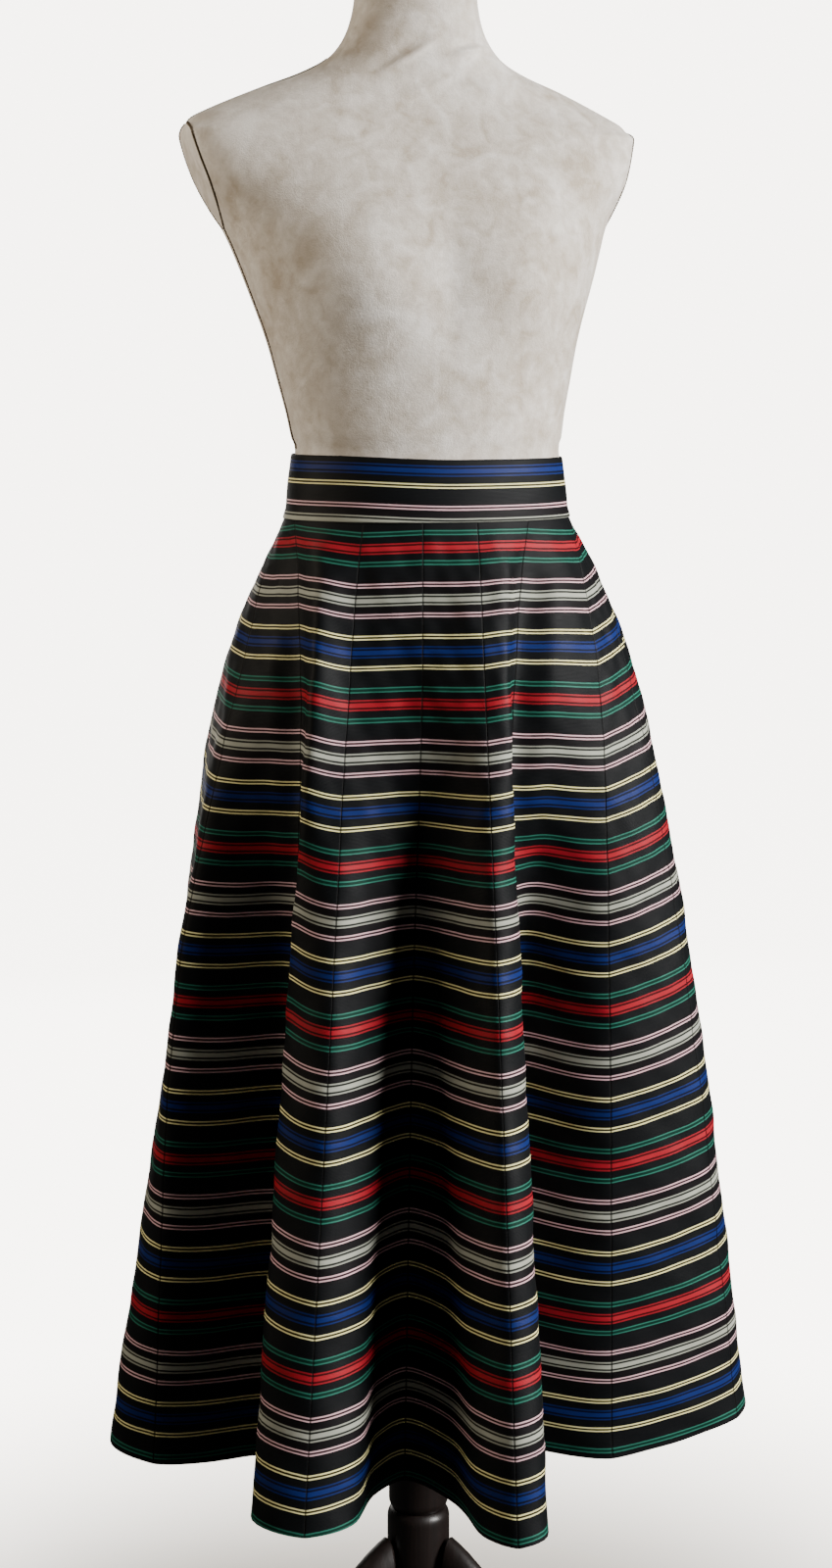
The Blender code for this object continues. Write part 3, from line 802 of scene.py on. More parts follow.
def relief(points, around, v):
    # what creases and waves add to the plain surface; around goes from 0 to 1 round the skirt
    total = np.zeros(points.shape[:-1])
    for start, end, rise, width in creaseEnds:
        total += creaseRise(points, start, end, rise, width, creaseForm)
    for height, roundIt, downIt, phase in waves:
        turn = 2 * math.pi * (roundIt * around + downIt * v / skirt["length"]) + phase
        total += height * np.sin(turn)
    return total * bump(v / creaseForm["fadeIn"])


def goreShares(width):
    # places across a gore, from a hair before its first seam to a hair past its second
    edge = np.array(skirt["edgeColumns"])
    count = skirt["inside"]
    inner = edge[-1] + (width - 2 * edge[-1]) * np.arange(1, count + 1) / (count + 1)
    return np.concatenate([edge, inner, width - edge[::-1]]) / width


def goreGrids(k):
    # one gore's outer points, directions and grain, with columns crowded beside both seams
    steps = skirt["steps"]
    columns = (k * steps + np.arange(steps + 1)) % skirtBase.shape[1]
    widths = np.linalg.norm(np.diff(skirtBase[:, columns], axis=1), axis=2).sum(axis=1)
    points, out, grain, around, down = [], [], [], [], []
    for row in range(skirt["rows"]):
        shares = goreShares(widths[row])
        position = (k + shares) * steps
        points.append(sample(skirtBase, row, position))
        out.append(sample(skirtOut, row, position))
        v = goreEnds(k, shares) * row / (skirt["rows"] - 1)
        sideways = shares * widths[row] + k * skirt["shift"]
        fromEdge = np.minimum(shares, 1.0 - shares) * widths[row]
        grain.append(np.column_stack([sideways, v - goreDrops(k, shares, v), fromEdge]))
        around.append((k + shares) / len(seams))
        down.append(v)
    out = np.array(out)
    out /= np.linalg.norm(out, axis=2)[:, :, None]
    return np.array(points), out, np.array(grain), np.array(around), np.array(down), widths


def areaUnder(widths, levels):
    return float(np.sum((widths[1:] + widths[:-1]) / 2 * np.diff(levels)))


def addGore(k):
    name = seamNames[k]
    points, out, grain, around, v, widths = goreGrids(k)
    fromEdge = grain[:, :, 2]
    push = relief(points, around, v)
    # the cloth dives at both seams, and a hair past them, where the next gore meets it
    push -= skirt["seamDip"] * np.exp(-(np.maximum(fromEdge, 0.0) / skirt["seamReach"]) ** 2)
    push -= skirt["seamDive"] * (fromEdge < 0.0)
    outer = points + out * push[:, :, None]
    # the cut edges turn in behind: double cloth along the seams and at the hem
    inSeam = bump((skirt["allowance"] - fromEdge) / skirt["seamStep"])
    inHem = bump((v - v[-1] + skirt["hemTurn"]) / skirt["hemStep"])
    thick = skirt["cloth"] * (1.0 + skirt["seamThicker"] * inSeam)
    thick = thick + skirt["hemThicker"] * skirt["cloth"] * inHem
    inner = outer - out * thick[:, :, None]
    piece = addWall("cloth_" + name, outer, inner, grain, clothPaint, "gore_" + name)
    # the flat cut: the area under its widths
    area = areaUnder(widths, np.linspace(0.0, float(v[-1].mean()), skirt["rows"]))


for k in range(len(seams)):
    addGore(k)
print("gores made:", len(seams))


placket = {
    "from": 0.002,
    "across": 1.0 / 3.0,
    "top": 0.0042,
    "bottom": 0.2586,
    "lengthAt": 0.15,       # the place across the gore where its length is read
    "off": 0.0013,
    "cloth": 0.0009,
    "columns": 14,
    "rows": 48,
    "shift": 7.1,           # of the weave's pattern
    "rollReach": 0.0008,    # the fold rolls over at its free edges
    "rollDepth": 0.0004,
    "rollThinner": 0.4,
}


def addPlacket():
    # the lap over the opening at the centre back
    k = seamNames.index("back")
    levels = np.linspace(placket["top"], placket["bottom"], placket["rows"])
    shares = np.linspace(placket["from"], placket["across"], placket["columns"])
    position = (k + shares) * skirt["steps"]
    place = shares / placket["across"]
    outer, out, grain = [], [], []
    for v in levels:
        row = v / goreEnds(k, placket["lengthAt"]) * (skirt["rows"] - 1)
        low = int(row)
        share = row - low
        above, below = [sample(skirtBase, level, position) for level in (low, low + 1)]
        spot = above * (1 - share) + below * share
        side = sample(skirtOut, low, position)
        side /= np.linalg.norm(side, axis=1)[:, None]
        down = np.full(len(shares), v)
        push = relief(spot, (k + shares) / len(seams), down)
        outer.append(spot + side * (push + placket["off"])[:, None])
        out.append(side)
        width = np.linalg.norm(spot[-1] - spot[0])
        sideways = place * width + placket["shift"]
        fromEdge = np.minimum(place, 1.0 - place) * width
        grain.append(np.column_stack([sideways, down - goreDrops(k, 0.0, v), fromEdge]))
    outer, out, grain = np.array(outer), np.array(out), np.array(grain)
    roll = np.exp(-(grain[:, :, 2] / placket["rollReach"]) ** 2)[:, :, None]
    outer = outer - out * roll * placket["rollDepth"]
    inner = outer - out * placket["cloth"] * (1.0 - placket["rollThinner"] * roll)
    piece = addWall("cloth_placket", outer, inner, grain, clothPaint, "back_placket")
    widths = np.linalg.norm(outer[:, -1] - outer[:, 0], axis=1)
    areaUnder(widths, levels)


addPlacket()


band = {
    "wall": 0.0024,
    "lap": 0.040,           # share of a turn by which the band laps over its own start
    "ramp": 0.035,          # where it starts to climb for that, and where it is up, before the full turn
    "rampEnd": 0.004,
    "stations": 300,        # in a full turn
    "topStripe": 0.737,     # place in the repeat at the band's top edge; the band is cut upside down
    "shift": 8.3,           # of the weave's pattern
    "puff": 0.0006,         # how far the middle of its height stands out, and how much that varies
    "ripple": 0.00016,
    "rippleRound": 61.0,
    "rippleDown": 9.0,
    "hang": 0.0029,         # how far the lower edge laps over the gores, and how far it stands off
    "flare": 0.0019,
    "flareFrom": 0.8,
    "flareOver": 0.2,
    "topDrop": 0.0026,      # how far the top edge sags, and how much more on the wearer's left
    "topSlope": 0.0035,
    "slopeFrom": -0.09,
    "slopeOver": 0.12,
    "middleRows": (0.1, 0.9, 13),
}
# Rounded edges, from the top down: share of the height, drawn in by, in metres.
bandProfile = [
    # down, in
    (0.000, 0.00090),
    (0.006, 0.00040),
    (0.016, 0.00010),
    (0.040, 0.00000),
]


def bandRows():
    middle = [(float(down), 0.0) for down in np.linspace(*band["middleRows"])]
    return bandProfile + middle + [(1.0 - down, drawn) for down, drawn in reversed(bandProfile)]


def addWaistband():
    height = bandHigh.z - bandLow.z + band["hang"]
    total = band["stations"] + int(round(band["stations"] * band["lap"])) + 1
    turnLength = 2 * math.pi * (skirt["bandTopHalf"][0] + skirt["bandTopHalf"][1]) / 2
    outer, inner, grain = [], [], []
    for down, drawn in bandRows():
        half = [top + (low - top) * down for top, low in zip(skirt["bandTopHalf"], skirt["bandLowHalf"])]
        puff = band["puff"] * math.sin(math.pi * down)
        flare = band["flare"] * float(bump((down - band["flareFrom"]) / band["flareOver"]))
        fromEdge = min(down, 1.0 - down) * height
        outerRow, innerRow, grainRow = [], [], []
        for station in range(total):
            share = station / band["stations"]
            ramp = (share - 1.0 + band["ramp"]) / (band["ramp"] - band["rampEnd"])
            lift = (band["wall"] + skirt["gap"]) * float(bump(ramp)) + flare
            wave = math.sin(band["rippleRound"] * share + band["rippleDown"] * down)
            ripple = band["ripple"] * wave * math.sin(math.pi * down)
            degrees = 180.0 + 360.0 * share
            slope = (waistPoint(half, degrees)[0] - band["slopeFrom"]) / band["slopeOver"]
            sag = band["topDrop"] + band["topSlope"] * float(bump(slope))
            z = bandHigh.z - height * down - sag * (1.0 - down)
            far = lift + puff + ripple - drawn
            near = lift - band["wall"] + drawn
            for rowOf, away in ((outerRow, far), (innerRow, near)):
                x, y = waistPoint((half[0] + away, half[1] + away), degrees)
                rowOf.append((x + offset[0], y + offset[1], z))
            fromEnd = min(station, total - 1 - station) / band["stations"] * turnLength
            stripe = stripes["start"] + band["topStripe"] * stripes["repeat"] - (bandHigh.z - sag - z)
            grainRow.append((share * turnLength + band["shift"], stripe, min(fromEnd, fromEdge)))
        outer.append(outerRow)
        inner.append(innerRow)
        grain.append(grainRow)
    outer, inner, grain = np.array(outer), np.array(inner), np.array(grain)
    piece = addWall("cloth_waistband", outer, inner, grain, clothPaint, "waistband")


addWaistband()
print("waistband and placket made")


# The form: level sections from the bottom up

formSections = [
    # z, half width, front, back, ahead of the post, square
    (0.900, 0.128, 0.056, 0.078, 0.018, 2.1),
    (0.906, 0.138, 0.064, 0.086, 0.018, 2.1),
    (0.930, 0.147, 0.072, 0.088, 0.020, 2.05),
    (0.965, 0.153, 0.077, 0.092, 0.022, 2.0),
    (1.005, 0.153, 0.080, 0.092, 0.025, 2.0),
    (1.045, 0.1435, 0.081, 0.090, 0.028, 2.0),
    (1.085, 0.1300, 0.083, 0.087, 0.031, 2.0),
    (1.108, 0.1250, 0.0868, 0.0868, 0.033, 2.0),
    (1.173, 0.1195, 0.0847, 0.0847, 0.033, 2.0),
    (1.180, 0.1222, 0.0872, 0.0860, 0.032, 2.0),
    (1.205, 0.1260, 0.0900, 0.0850, 0.030, 2.0),
    (1.235, 0.1320, 0.0940, 0.0850, 0.026, 2.05),
    (1.270, 0.1400, 0.0990, 0.0860, 0.020, 2.1),
    (1.310, 0.1530, 0.1040, 0.0900, 0.012, 2.15),
    (1.350, 0.1680, 0.1040, 0.0960, 0.004, 2.2),
    (1.385, 0.1840, 0.0990, 0.0990, -0.003, 2.3),
    (1.415, 0.1960, 0.0910, 0.0980, -0.007, 2.5),
    (1.440, 0.2040, 0.0820, 0.0930, -0.011, 2.6),
    (1.458, 0.2075, 0.0740, 0.0860, -0.013, 2.6),
    (1.466, 0.2030, 0.0700, 0.0820, -0.013, 2.4),
    (1.474, 0.1880, 0.0660, 0.0780, -0.013, 2.3),
    (1.484, 0.1660, 0.0620, 0.0740, -0.013, 2.2),
    (1.496, 0.1370, 0.0590, 0.0700, -0.012, 2.1),
    (1.508, 0.1060, 0.0560, 0.0650, -0.010, 2.0),
    (1.520, 0.0830, 0.0545, 0.0600, -0.008, 2.0),
    (1.534, 0.0690, 0.0525, 0.0560, -0.006, 2.0),
    (1.552, 0.0600, 0.0505, 0.0530, -0.006, 2.0),
    (1.578, 0.0550, 0.0495, 0.0510, -0.005, 2.0),
    (1.606, 0.0555, 0.0500, 0.0510, -0.005, 2.0),
]
sectionKnots = [row[0] for row in formSections]
sectionValues = np.array([row[1:] for row in formSections])


# How far each side of the torso stands out beyond its section.
sideTrim = [
    # z, wearer's right, wearer's left
    (1.180, 0.0000, 0.0000),
    (1.230, 0.0025, 0.0000),
    (1.300, 0.0040, 0.0000),
    (1.350, 0.0035, -0.0020),
    (1.390, 0.0025, -0.0070),
    (1.440, 0.0030, -0.0090),
    (1.470, 0.0030, -0.0085),
    (1.500, 0.0020, -0.0020),
    (1.545, 0.0030, 0.0000),
    (1.606, 0.0030, 0.0000),
]
trimKnots = [row[0] for row in sideTrim]
trimValues = np.array([row[1:] for row in sideTrim])


def sectionAt(z):
    return readDown(sectionKnots, sectionValues, z)


def sideAt(z, side):
    # half the torso's width on one side: -1 is the wearer's right, 1 the left
    right, left = readDown(trimKnots, trimValues, min(max(z, trimKnots[0]), trimKnots[-1]))
    return sectionAt(z)[0] + (right if side < 0 else left)


def plateShare(z):
    # 1 over the height of the arm plates, 0 above and below them
    rise = bump((z - form["plateLow"]) / form["plateTaper"])
    fall = bump((form["plateHigh"] - z) / form["plateFall"])
    return float(rise * fall)


def formPoint(z, angle):
    # one point of the cover: a rounded section with the bust on it, cut flat at the arm plates
    front, back, ahead, square = sectionAt(z)[1:]
    proud = form["plateProud"] * plateShare(z)
    sine = math.sin(angle)
    cosine = math.cos(angle)
    halfWidth = sideAt(z, sine)
    power = 2.0 / square
    x = (halfWidth + proud) * math.copysign(abs(sine) ** power, sine)
    depth = front if cosine > 0 else back
    y = -depth * math.copysign(abs(cosine) ** power, cosine)
    if cosine > 0:
        near = math.exp(-((abs(x) - form["bustOut"]) ** 2 + (z - form["bustZ"]) ** 2)
                        / (2 * form["bustSpread"] ** 2))
        y -= form["bustRise"] * near * cosine ** 0.5
    x = math.copysign(min(abs(x), halfWidth), x)
    y += form["waistForward"] - ahead
    x, y = turned(x, y)
    return np.array([x, y, z]) + offset


# Creases of the cover at the neck. A minus rise is a trough.
neckCreases = [
    # start x, start z, end x, end z, rise, width
    (-0.042, 1.504, 0.008, 1.534, 0.0038, 0.0036),
    (-0.042, 1.515, 0.003, 1.543, -0.0016, 0.0055),
    (-0.030, 1.480, 0.030, 1.506, 0.0016, 0.0045),
    (0.022, 1.522, 0.053, 1.531, 0.0040, 0.0030),
    (0.020, 1.529, 0.044, 1.537, -0.0022, 0.0032),
    (0.030, 1.502, 0.078, 1.490, 0.0024, 0.0055),
    (0.052, 1.482, 0.120, 1.470, -0.0016, 0.0070),
]


neckForm = {
    "margin": 0.06,
    "fullness": 1.0,
    "behind": 0.03,         # the creases end in front of here
}
# The padding's faint lumps: height, and how fast they change across, up and from front to back.
lumps = {"height": 0.0005, "across": 41.0, "up": (17.0, 33.0), "deep": 23.0}
formRings = [
    # from, to, rings
    (0.900, 0.906, 4),
    (0.906, 1.440, 100),
    (1.440, 1.545, 82),
    (1.545, 1.606, 24),
]


def formRelief(grid):
    # pushes the cover in or out along the way it faces
    out = -outwardOf(grid)
    total = np.zeros(grid.shape[:2])
    facing = grid[:, :, 1] < offset[1] + neckForm["behind"]
    flat = grid[:, :, [0, 2]] - offset[[0, 2]]
    for row in neckCreases:
        start, end = np.array(row[0:2]), np.array(row[2:4])
        total += creaseRise(flat, start, end, row[4], row[5], neckForm) * facing
    x, y, z = grid[:, :, 0], grid[:, :, 1], grid[:, :, 2]
    first = np.sin(lumps["across"] * x + lumps["up"][0] * z)
    second = np.sin(lumps["up"][1] * z + lumps["deep"] * y)
    total += lumps["height"] * first * second
    return grid + out * total[:, :, None]


def addForm():
    heights = [np.linspace(low, high, count)[:-1] for low, high, count in formRings]
    heights = np.concatenate(heights + [sectionKnots[-1:]])
    angles = 2 * math.pi * np.arange(form["sides"]) / form["sides"]
    grid = formRelief(np.array([[formPoint(z, angle) for angle in angles] for z in heights]))
    piece = addTube("form_torso", grid, coverPaint, "dress_form", form["sharp"])


addForm()


threadForm = {
    "step": 0.0009,         # from ring to ring
    "leastSteps": 12,
    "stitch": 3.0,          # steps from stitch to stitch, and how much the thread swells at each
    "swell": 0.28,
    "sides": 8,
    "sharp": 180.0,         # degrees, so that no edge of a thread is sharp
    "tilt": (0.0, 1.0, 0.05),
    "plateFrom": 0.003,     # short of the arm plate's lower and upper end
    "plateTo": 0.001,
    "platePlaces": 50,
    "sideFrom": 0.004,      # above the arm plate's lower end, and above the waistband
    "sideTo": 0.002,
    "sideTurn": 88.0,       # degrees from the front
    "shoulderTo": 1.522,
    "shoulderTurn": 90.0,
    "places": 60,
    "plateBack": 0.0007,    # radius of each kind of seam, in metres
    "sideSeam": 0.0010,
    "shoulder": 0.0007,
}
threadSides = [
    # side, as the wearer has it, radius at the front of the arm plate
    (-1, "right", 0.0011),
    (1, "left", 0.0006),
]


def addSeamThread(name, path, radius):
    # an overcast seam: a thin tube that swells at every stitch
    path = np.array(path)
    lengths = lengthsAlong(path)
    count = max(threadForm["leastSteps"], int(lengths[-1] / threadForm["step"]))
    line = pointsAlong(path, lengths, np.linspace(0.0, lengths[-1], count + 1))
    ahead = np.gradient(line, axis=0)
    ahead /= np.linalg.norm(ahead, axis=1)[:, None]
    side = np.cross(ahead, np.array(threadForm["tilt"]))
    side /= np.linalg.norm(side, axis=1)[:, None]
    up = np.cross(side, ahead)
    stitches = np.sin(2 * math.pi * np.arange(len(line)) / threadForm["stitch"])
    swell = radius * (1.0 + threadForm["swell"] * stitches)
    turns = 2 * math.pi * np.arange(threadForm["sides"]) / threadForm["sides"]
    rings = np.array([line + swell[:, None] * (math.cos(t) * side + math.sin(t) * up) for t in turns])
    rings = rings.transpose(1, 0, 2)
    piece = addTube(name, rings, threadPaint, None, threadForm["sharp"])
    recalcNormals(piece)


def plateEdge(side, cosineSign):
    # up the front or the back edge of an arm plate
    low = form["plateLow"] + threadForm["plateFrom"]
    high = form["plateHigh"] - threadForm["plateTo"]
    edge = []
    for z in np.linspace(low, high, threadForm["platePlaces"]):
        front, back, ahead, square = sectionAt(z)[1:]
        halfWidth = sideAt(z, side)
        wide = halfWidth + form["plateProud"] * plateShare(z)
        depth = front if cosineSign > 0 else back
        y = -cosineSign * depth * (1.0 - (halfWidth / wide) ** square) ** (1.0 / square)
        x, y = turned(side * halfWidth, y + form["waistForward"] - ahead)
        edge.append(np.array([x, y, z]) + offset)
    return edge


def formPath(start, end, degrees):
    # up or down the form, at one angle from its front
    return [formPoint(z, math.radians(degrees)) for z in np.linspace(start, end, threadForm["places"])]


for side, word, frontRadius in threadSides:
    sideTop = form["plateLow"] + threadForm["sideFrom"]
    sidePath = formPath(sideTop, bandHigh.z + threadForm["sideTo"], side * threadForm["sideTurn"])
    shoulderPath = formPath(form["plateHigh"], threadForm["shoulderTo"], side * threadForm["shoulderTurn"])
    addSeamThread("form_plate_front_" + word, plateEdge(side, 1), frontRadius)
    addSeamThread("form_plate_back_" + word, plateEdge(side, -1), threadForm["plateBack"])
    addSeamThread("form_side_seam_" + word, sidePath, threadForm["sideSeam"])
    addSeamThread("form_shoulder_seam_" + word, shoulderPath, threadForm["shoulder"])
print("form made")


# The stand, modelled by extruding and scaling rings

stand = {
    "sides": 72,
    "sharp": 38.0,          # degrees over which an edge stays sharp
    "legSides": 24,
    "legTurns": [-150.0, -30.0, 90.0],
    "sole": 0.0004,         # points of a foot lower than this lie flat on the floor
}


def startRing(name, sides, radius, place):
    deselectAll()
    bpy.ops.mesh.primitive_circle_add(vertices=sides, radius=radius, fill_type="NGON", location=place)
    piece = bpy.context.active_object
    piece.name = name
    piece.data.name = name
    bpy.ops.object.transform_apply(location=True, rotation=True, scale=True)
    bpy.ops.object.mode_set(mode="EDIT")
    bpy.ops.mesh.select_all(action="SELECT")
    return piece


def extrudeUp(rise):
    bpy.ops.mesh.extrude_region_move(TRANSFORM_OT_translate={"value": (0.0, 0.0, rise)})


def stackedRings(name, sides, count):
    # rings of radius 1 at heights 0, 1, 2 and so on, for points that are then moved to their places
    piece = startRing(name, sides, 1.0, (0.0, 0.0, 0.0))
    for step in range(1, count):
        extrudeUp(1.0)
    bpy.ops.object.mode_set(mode="OBJECT")
    return piece


def finishSolid(piece, paint, node):
    recalcNormals(piece)
    piece.data.materials.clear()
    piece.data.materials.append(paint)
    piece.data.shade_smooth()
    piece.data.set_sharp_from_angle(angle=math.radians(stand["sharp"]))
    settle(piece, node)


def turnedPiece(name, profile, node):
    # radius and height pairs, each one a ring extruded from the one before
    radius, height = profile[0]
    piece = startRing(name, stand["sides"], radius, (*standCentre, height))
    for nextRadius, nextHeight in profile[1:]:
        extrudeUp(nextHeight - height)
        ratio = nextRadius / radius
        bpy.ops.transform.resize(value=(ratio, ratio, 1.0), center_override=(*standCentre, nextHeight))
        radius, height = nextRadius, nextHeight
    bpy.ops.object.mode_set(mode="OBJECT")
    finishSolid(piece, woodPaint, node)


postLow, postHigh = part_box("post")
standCentre = ((postLow.x + postHigh.x) / 2, (postLow.y + postHigh.y) / 2)

# From the bottom up. Columns: radius, height.
postProfile = [
    (0.0222, 0.2150),
    (0.0238, 0.2152),
    (0.0243, 0.2160),
    (0.0250, 0.2172),
    (0.0259, 0.2186),
    (0.0265, 0.2204),
    (0.0267, 0.2230),
    (0.0267, 0.4000),
    (0.0267, 0.6500),
    (0.0267, 0.8990),
    (0.0262, 0.8997),
]
hubProfile = [
    (0.0120, 0.0920),
    (0.0175, 0.0926),
    (0.0225, 0.0950),
    (0.0262, 0.0992),
    (0.0283, 0.1040),
    (0.0298, 0.1110),
    (0.0300, 0.1190),
    (0.0292, 0.1245),
    (0.0281, 0.1290),
    (0.0280, 0.1310),
    (0.0280, 0.1700),
    (0.0280, 0.2050),
    (0.0279, 0.2078),
    (0.0273, 0.2102),
    (0.0262, 0.2122),
    (0.0250, 0.2136),
    (0.0240, 0.2144),
    (0.0230, 0.2147),
]
turnedPiece("stand_post", postProfile, "post")
turnedPiece("stand_hub", hubProfile, "hub")

# A leg's middle line from the hub outwards, as in the solid.
legLine = [
    # out, z, half width, half height
    (0.0283, 0.166, 0.0150, 0.0320),
    (0.0365, 0.161, 0.0154, 0.0290),
    (0.0460, 0.155, 0.0155, 0.0260),
    (0.0700, 0.129, 0.0150, 0.0220),
    (0.0980, 0.102, 0.0142, 0.0185),
    (0.1300, 0.075, 0.0135, 0.0160),
    (0.1650, 0.053, 0.0125, 0.0140),
    (0.2020, 0.037, 0.0130, 0.0130),
    (0.2380, 0.028, 0.0140, 0.0130),
]
legFoot = {"out": 0.262, "halfLength": 0.0200, "halfWidth": 0.0150}
# The foot's rings: height, share of its size.
footRings = [(0.020, 1.00), (0.010, 1.06), (0.003, 1.07), (0.0006, 1.02), (0.0, 0.96)]


def legRings():
    # every ring of a leg that runs out along +X from the post's axis
    rings = []
    for k, (out, z, halfWidth, halfHeight) in enumerate(legLine):
        before = legLine[max(k - 1, 0)]
        after = legLine[min(k + 1, len(legLine) - 1)]
        run, fall = after[0] - before[0], after[1] - before[1]
        length = math.hypot(run, fall)
        up = (-fall / length, run / length) if k > 1 else (0.0, 1.0)
        rings.append(((out, z), up, halfWidth, halfHeight))
    for height, share in footRings:
        rings.append(((legFoot["out"], height), (1.0, 0.0), legFoot["halfWidth"] * share,
                      legFoot["halfLength"] * share))
    return rings


def extrudeLeg(name):
    # rings fitted one by one to the leg's line, then rounded
    rings = legRings()
    piece = stackedRings(name, stand["legSides"], len(rings))
    for vertex in piece.data.vertices:
        (out, z), up, halfWidth, halfHeight = rings[int(round(vertex.co.z))]
        side, rise = vertex.co.x * halfWidth, vertex.co.y * halfHeight
        vertex.co = Vector((out + up[0] * rise, side, z + up[1] * rise))
    recalcNormals(piece)
    smoother = piece.modifiers.new("round", "SUBSURF")
    smoother.levels = 1
    smoother.render_levels = 1
    bpy.ops.object.modifier_apply(modifier=smoother.name)
    for vertex in piece.data.vertices:
        if vertex.co.z < stand["sole"]:
            vertex.co.z = 0.0
    return piece


def addLegs():
    pattern = extrudeLeg("leg_pattern")
    place = Matrix.Translation((*standCentre, 0.0))
    for k, degrees in enumerate(stand["legTurns"]):
        leg = addObject("stand_leg_%d" % (k + 1), pattern.data.copy())
        leg.data.name = leg.name
        leg.data.transform(place @ Matrix.Rotation(math.radians(degrees), 4, "Z"))
        finishSolid(leg, woodPaint, "leg_%d" % (k + 1))
    bpy.data.objects.remove(pattern)


addLegs()


# The cap on the neck: a covered disc with a soft edge
capRings = [
    # share of the neck's width, height above it
    (0.900, 0.0003),
    (0.975, 0.0008),
    (0.985, 0.0040),
    (0.965, 0.0078),
    (0.900, 0.0108),
    (0.760, 0.0130),
    (0.550, 0.0140),
    (0.250, 0.0140),
]


def addNeckCap():
    neckTop = sectionKnots[-1]
    degreesRound = range(0, 360, 10)
    middle = np.mean([formPoint(neckTop, math.radians(a)) for a in degreesRound], axis=0)
    piece = stackedRings("form_neck_cap", form["sides"], len(capRings))
    for vertex in piece.data.vertices:
        share, rise = capRings[int(round(vertex.co.z))]
        edge = formPoint(neckTop, math.atan2(vertex.co.x, -vertex.co.y))
        spot = middle + (edge - middle) * share
        vertex.co = Vector((spot[0], spot[1], neckTop + rise))
    finishSolid(piece, coverPaint, "neck_cap")


addNeckCap()
print("stand and neck cap made")


# Floor, sky and lamps

studio = {
    "floor": srgb(205, 200, 192),
    "floorDark": srgb(198, 193, 185),
    "mottle": (2.0, 2.0),
    "mottleShare": 0.3,
    "shader": {"Roughness": 0.85, "Specular IOR Level": 0.1},
    "sky": (1.0, 0.955, 0.89, 1.0),
    "skyStrength": 0.06,
    "sides": 96,
    "radius": 24.0,         # of the flat floor
    "bend": 6.0,            # radius of the curve from floor to wall
    "bendSteps": 12,
    "height": 22.0,
    "glowFrom": 0.25,       # the backdrop shines more and more from here outwards
    "glowTo": 1.05,
    "glow": 6.5,
    "spotAngle": 15.0,
    "spotBlend": 0.8,
}
lamps = [
    # name, kind, place, what it points at, width, height, power in watts, colour
    ("key", "AREA", (3.1, -1.30, 1.95), (0.0, 0.0, 0.85), 1.2, 1.6, 375.0, (1.0, 0.985, 0.965)),
    ("left", "AREA", (-1.5, -0.35, 1.6), (-0.1, 0.0, 1.25), 0.8, 1.0, 22.0, (1.0, 0.88, 0.72)),
    ("fill", "SPOT", (-1.6, -2.7, 2.2), (0.0, 0.0, 1.45), 0.4, 0.4, 10.0, (1.0, 0.93, 0.84)),
    ("back", "AREA", (-0.5, 2.7, 1.5), (0.0, 0.0, 0.9), 2.6, 2.4, 60.0, (1.0, 0.97, 0.92)),
]


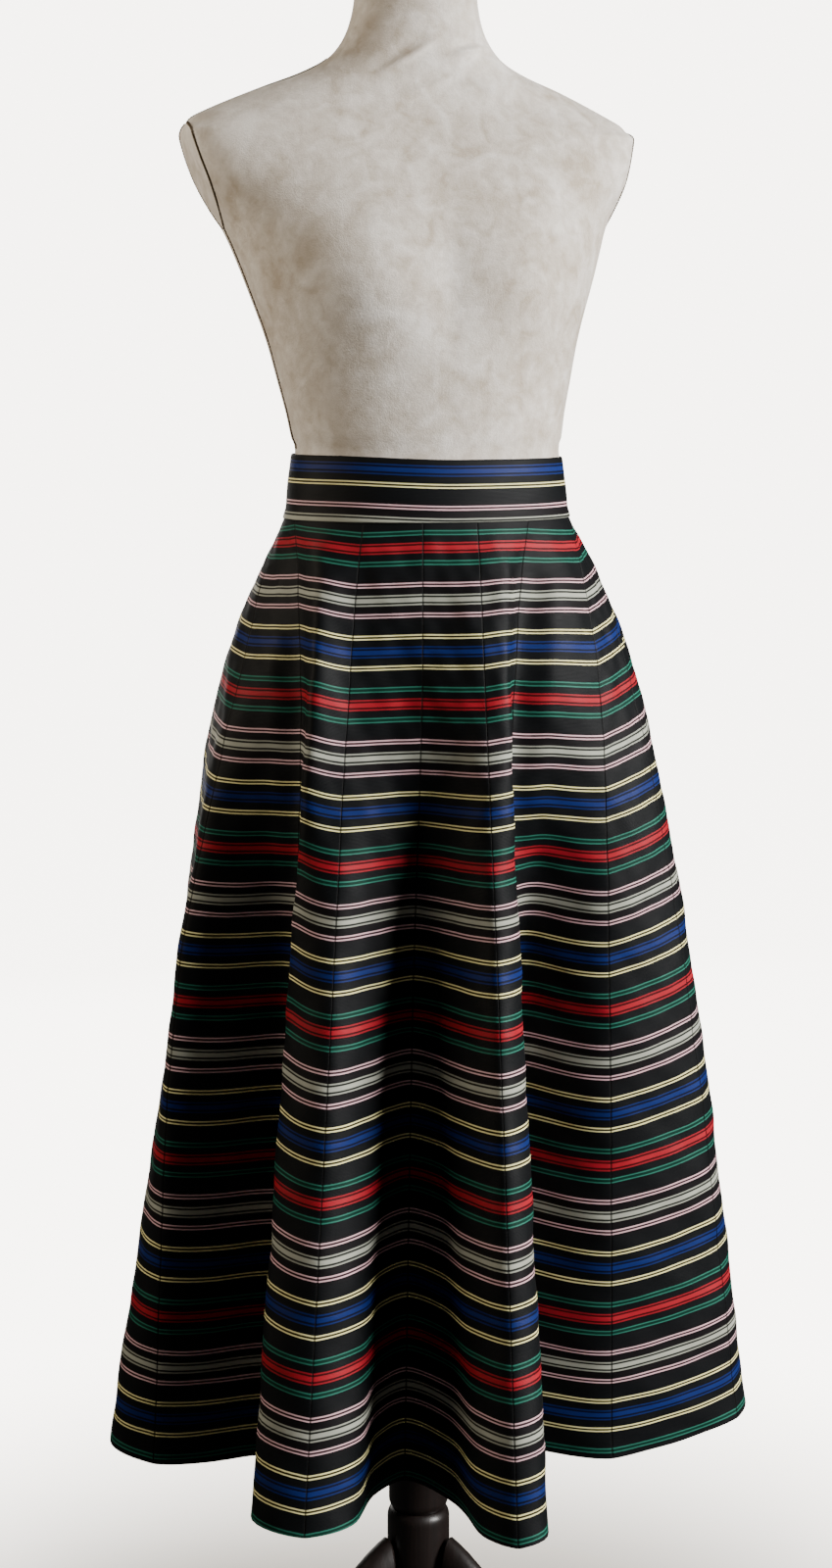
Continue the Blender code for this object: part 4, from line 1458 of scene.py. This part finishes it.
def addBackdrop():
    # a round floor that curves up into a wall on every side, made from the top down
    deselectAll()
    bend = studio["bend"]
    wide = studio["radius"] + bend
    top = (0.0, 0.0, studio["height"])
    bpy.ops.mesh.primitive_circle_add(vertices=studio["sides"], radius=wide, location=top)
    bpy.ops.object.transform_apply(location=True, rotation=False, scale=False)
    sheet = bpy.context.active_object
    sheet.name = "backdrop"
    bpy.ops.object.mode_set(mode="EDIT")
    bpy.ops.mesh.select_all(action="SELECT")
    extrudeUp(bend - studio["height"])
    for k in range(studio["bendSteps"]):
        here, there = (math.pi / 2 * step / studio["bendSteps"] for step in (k, k + 1))
        share = (wide - bend + bend * math.cos(there)) / (wide - bend + bend * math.cos(here))
        extrudeUp(-bend * (math.sin(there) - math.sin(here)))
        bpy.ops.transform.resize(value=(share, share, 1.0))
    bpy.ops.mesh.edge_face_add()
    bpy.ops.object.mode_set(mode="OBJECT")
    sheet.data.shade_smooth()
    # it is seen, but it sheds no light on the part
    sheet.visible_diffuse = False
    sheet.visible_glossy = False
    sheet.visible_shadow = False
    sheet.data.materials.append(makeBackdrop("backdrop"))


def makeBackdrop(name):
    paint = Paint(name)
    level = paint.coords((1.0, 1.0, 0.0))
    fromMiddle = paint.node("ShaderNodeVectorMath", {"operation": "LENGTH"}, {0: level}, 1)
    rise = ((fromMiddle - studio["glowFrom"]) * (1.0 / (studio["glowTo"] - studio["glowFrom"]))).limited()
    rise = rise * rise * (3.0 - 2.0 * rise)
    mottle = paint.noise(paint.coords(), *studio["mottle"]) * studio["mottleShare"]
    sockets = {
        "Base Color": paint.mix(mottle, studio["floor"], studio["floorDark"]),
        "Emission Color": paint.mix(rise, (0.0, 0.0, 0.0, 1.0), studio["sky"]),
        "Emission Strength": studio["glow"],
        **studio["shader"],
    }
    shader = paint.node("ShaderNodeBsdfPrincipled", {}, sockets)
    paint.node("ShaderNodeOutputMaterial", {}, {"Surface": shader})
    return paint.material


def addSky():
    world = bpy.data.worlds.new("studio")
    world.use_nodes = True
    background = world.node_tree.nodes["Background"]
    background.inputs["Color"].default_value = studio["sky"]
    background.inputs["Strength"].default_value = studio["skyStrength"]
    bpy.context.scene.world = world


def addLamp(name, kind, place, target, width, height, power, colour):
    data = bpy.data.lights.new(name, kind)
    if kind == "AREA":
        data.shape = "RECTANGLE"
        data.size = width
        data.size_y = height
    else:
        data.shadow_soft_size = width / 2
        data.spot_size = math.radians(studio["spotAngle"])
        data.spot_blend = studio["spotBlend"]
    data.energy = power
    data.color = colour
    lamp = addObject(name, data)
    lamp.visible_camera = False
    lamp.location = place
    lamp.rotation_euler = (Vector(target) - Vector(place)).to_track_quat("-Z", "Y").to_euler()


addBackdrop()
addSky()
for row in lamps:
    addLamp(*row)

print("scene finished")
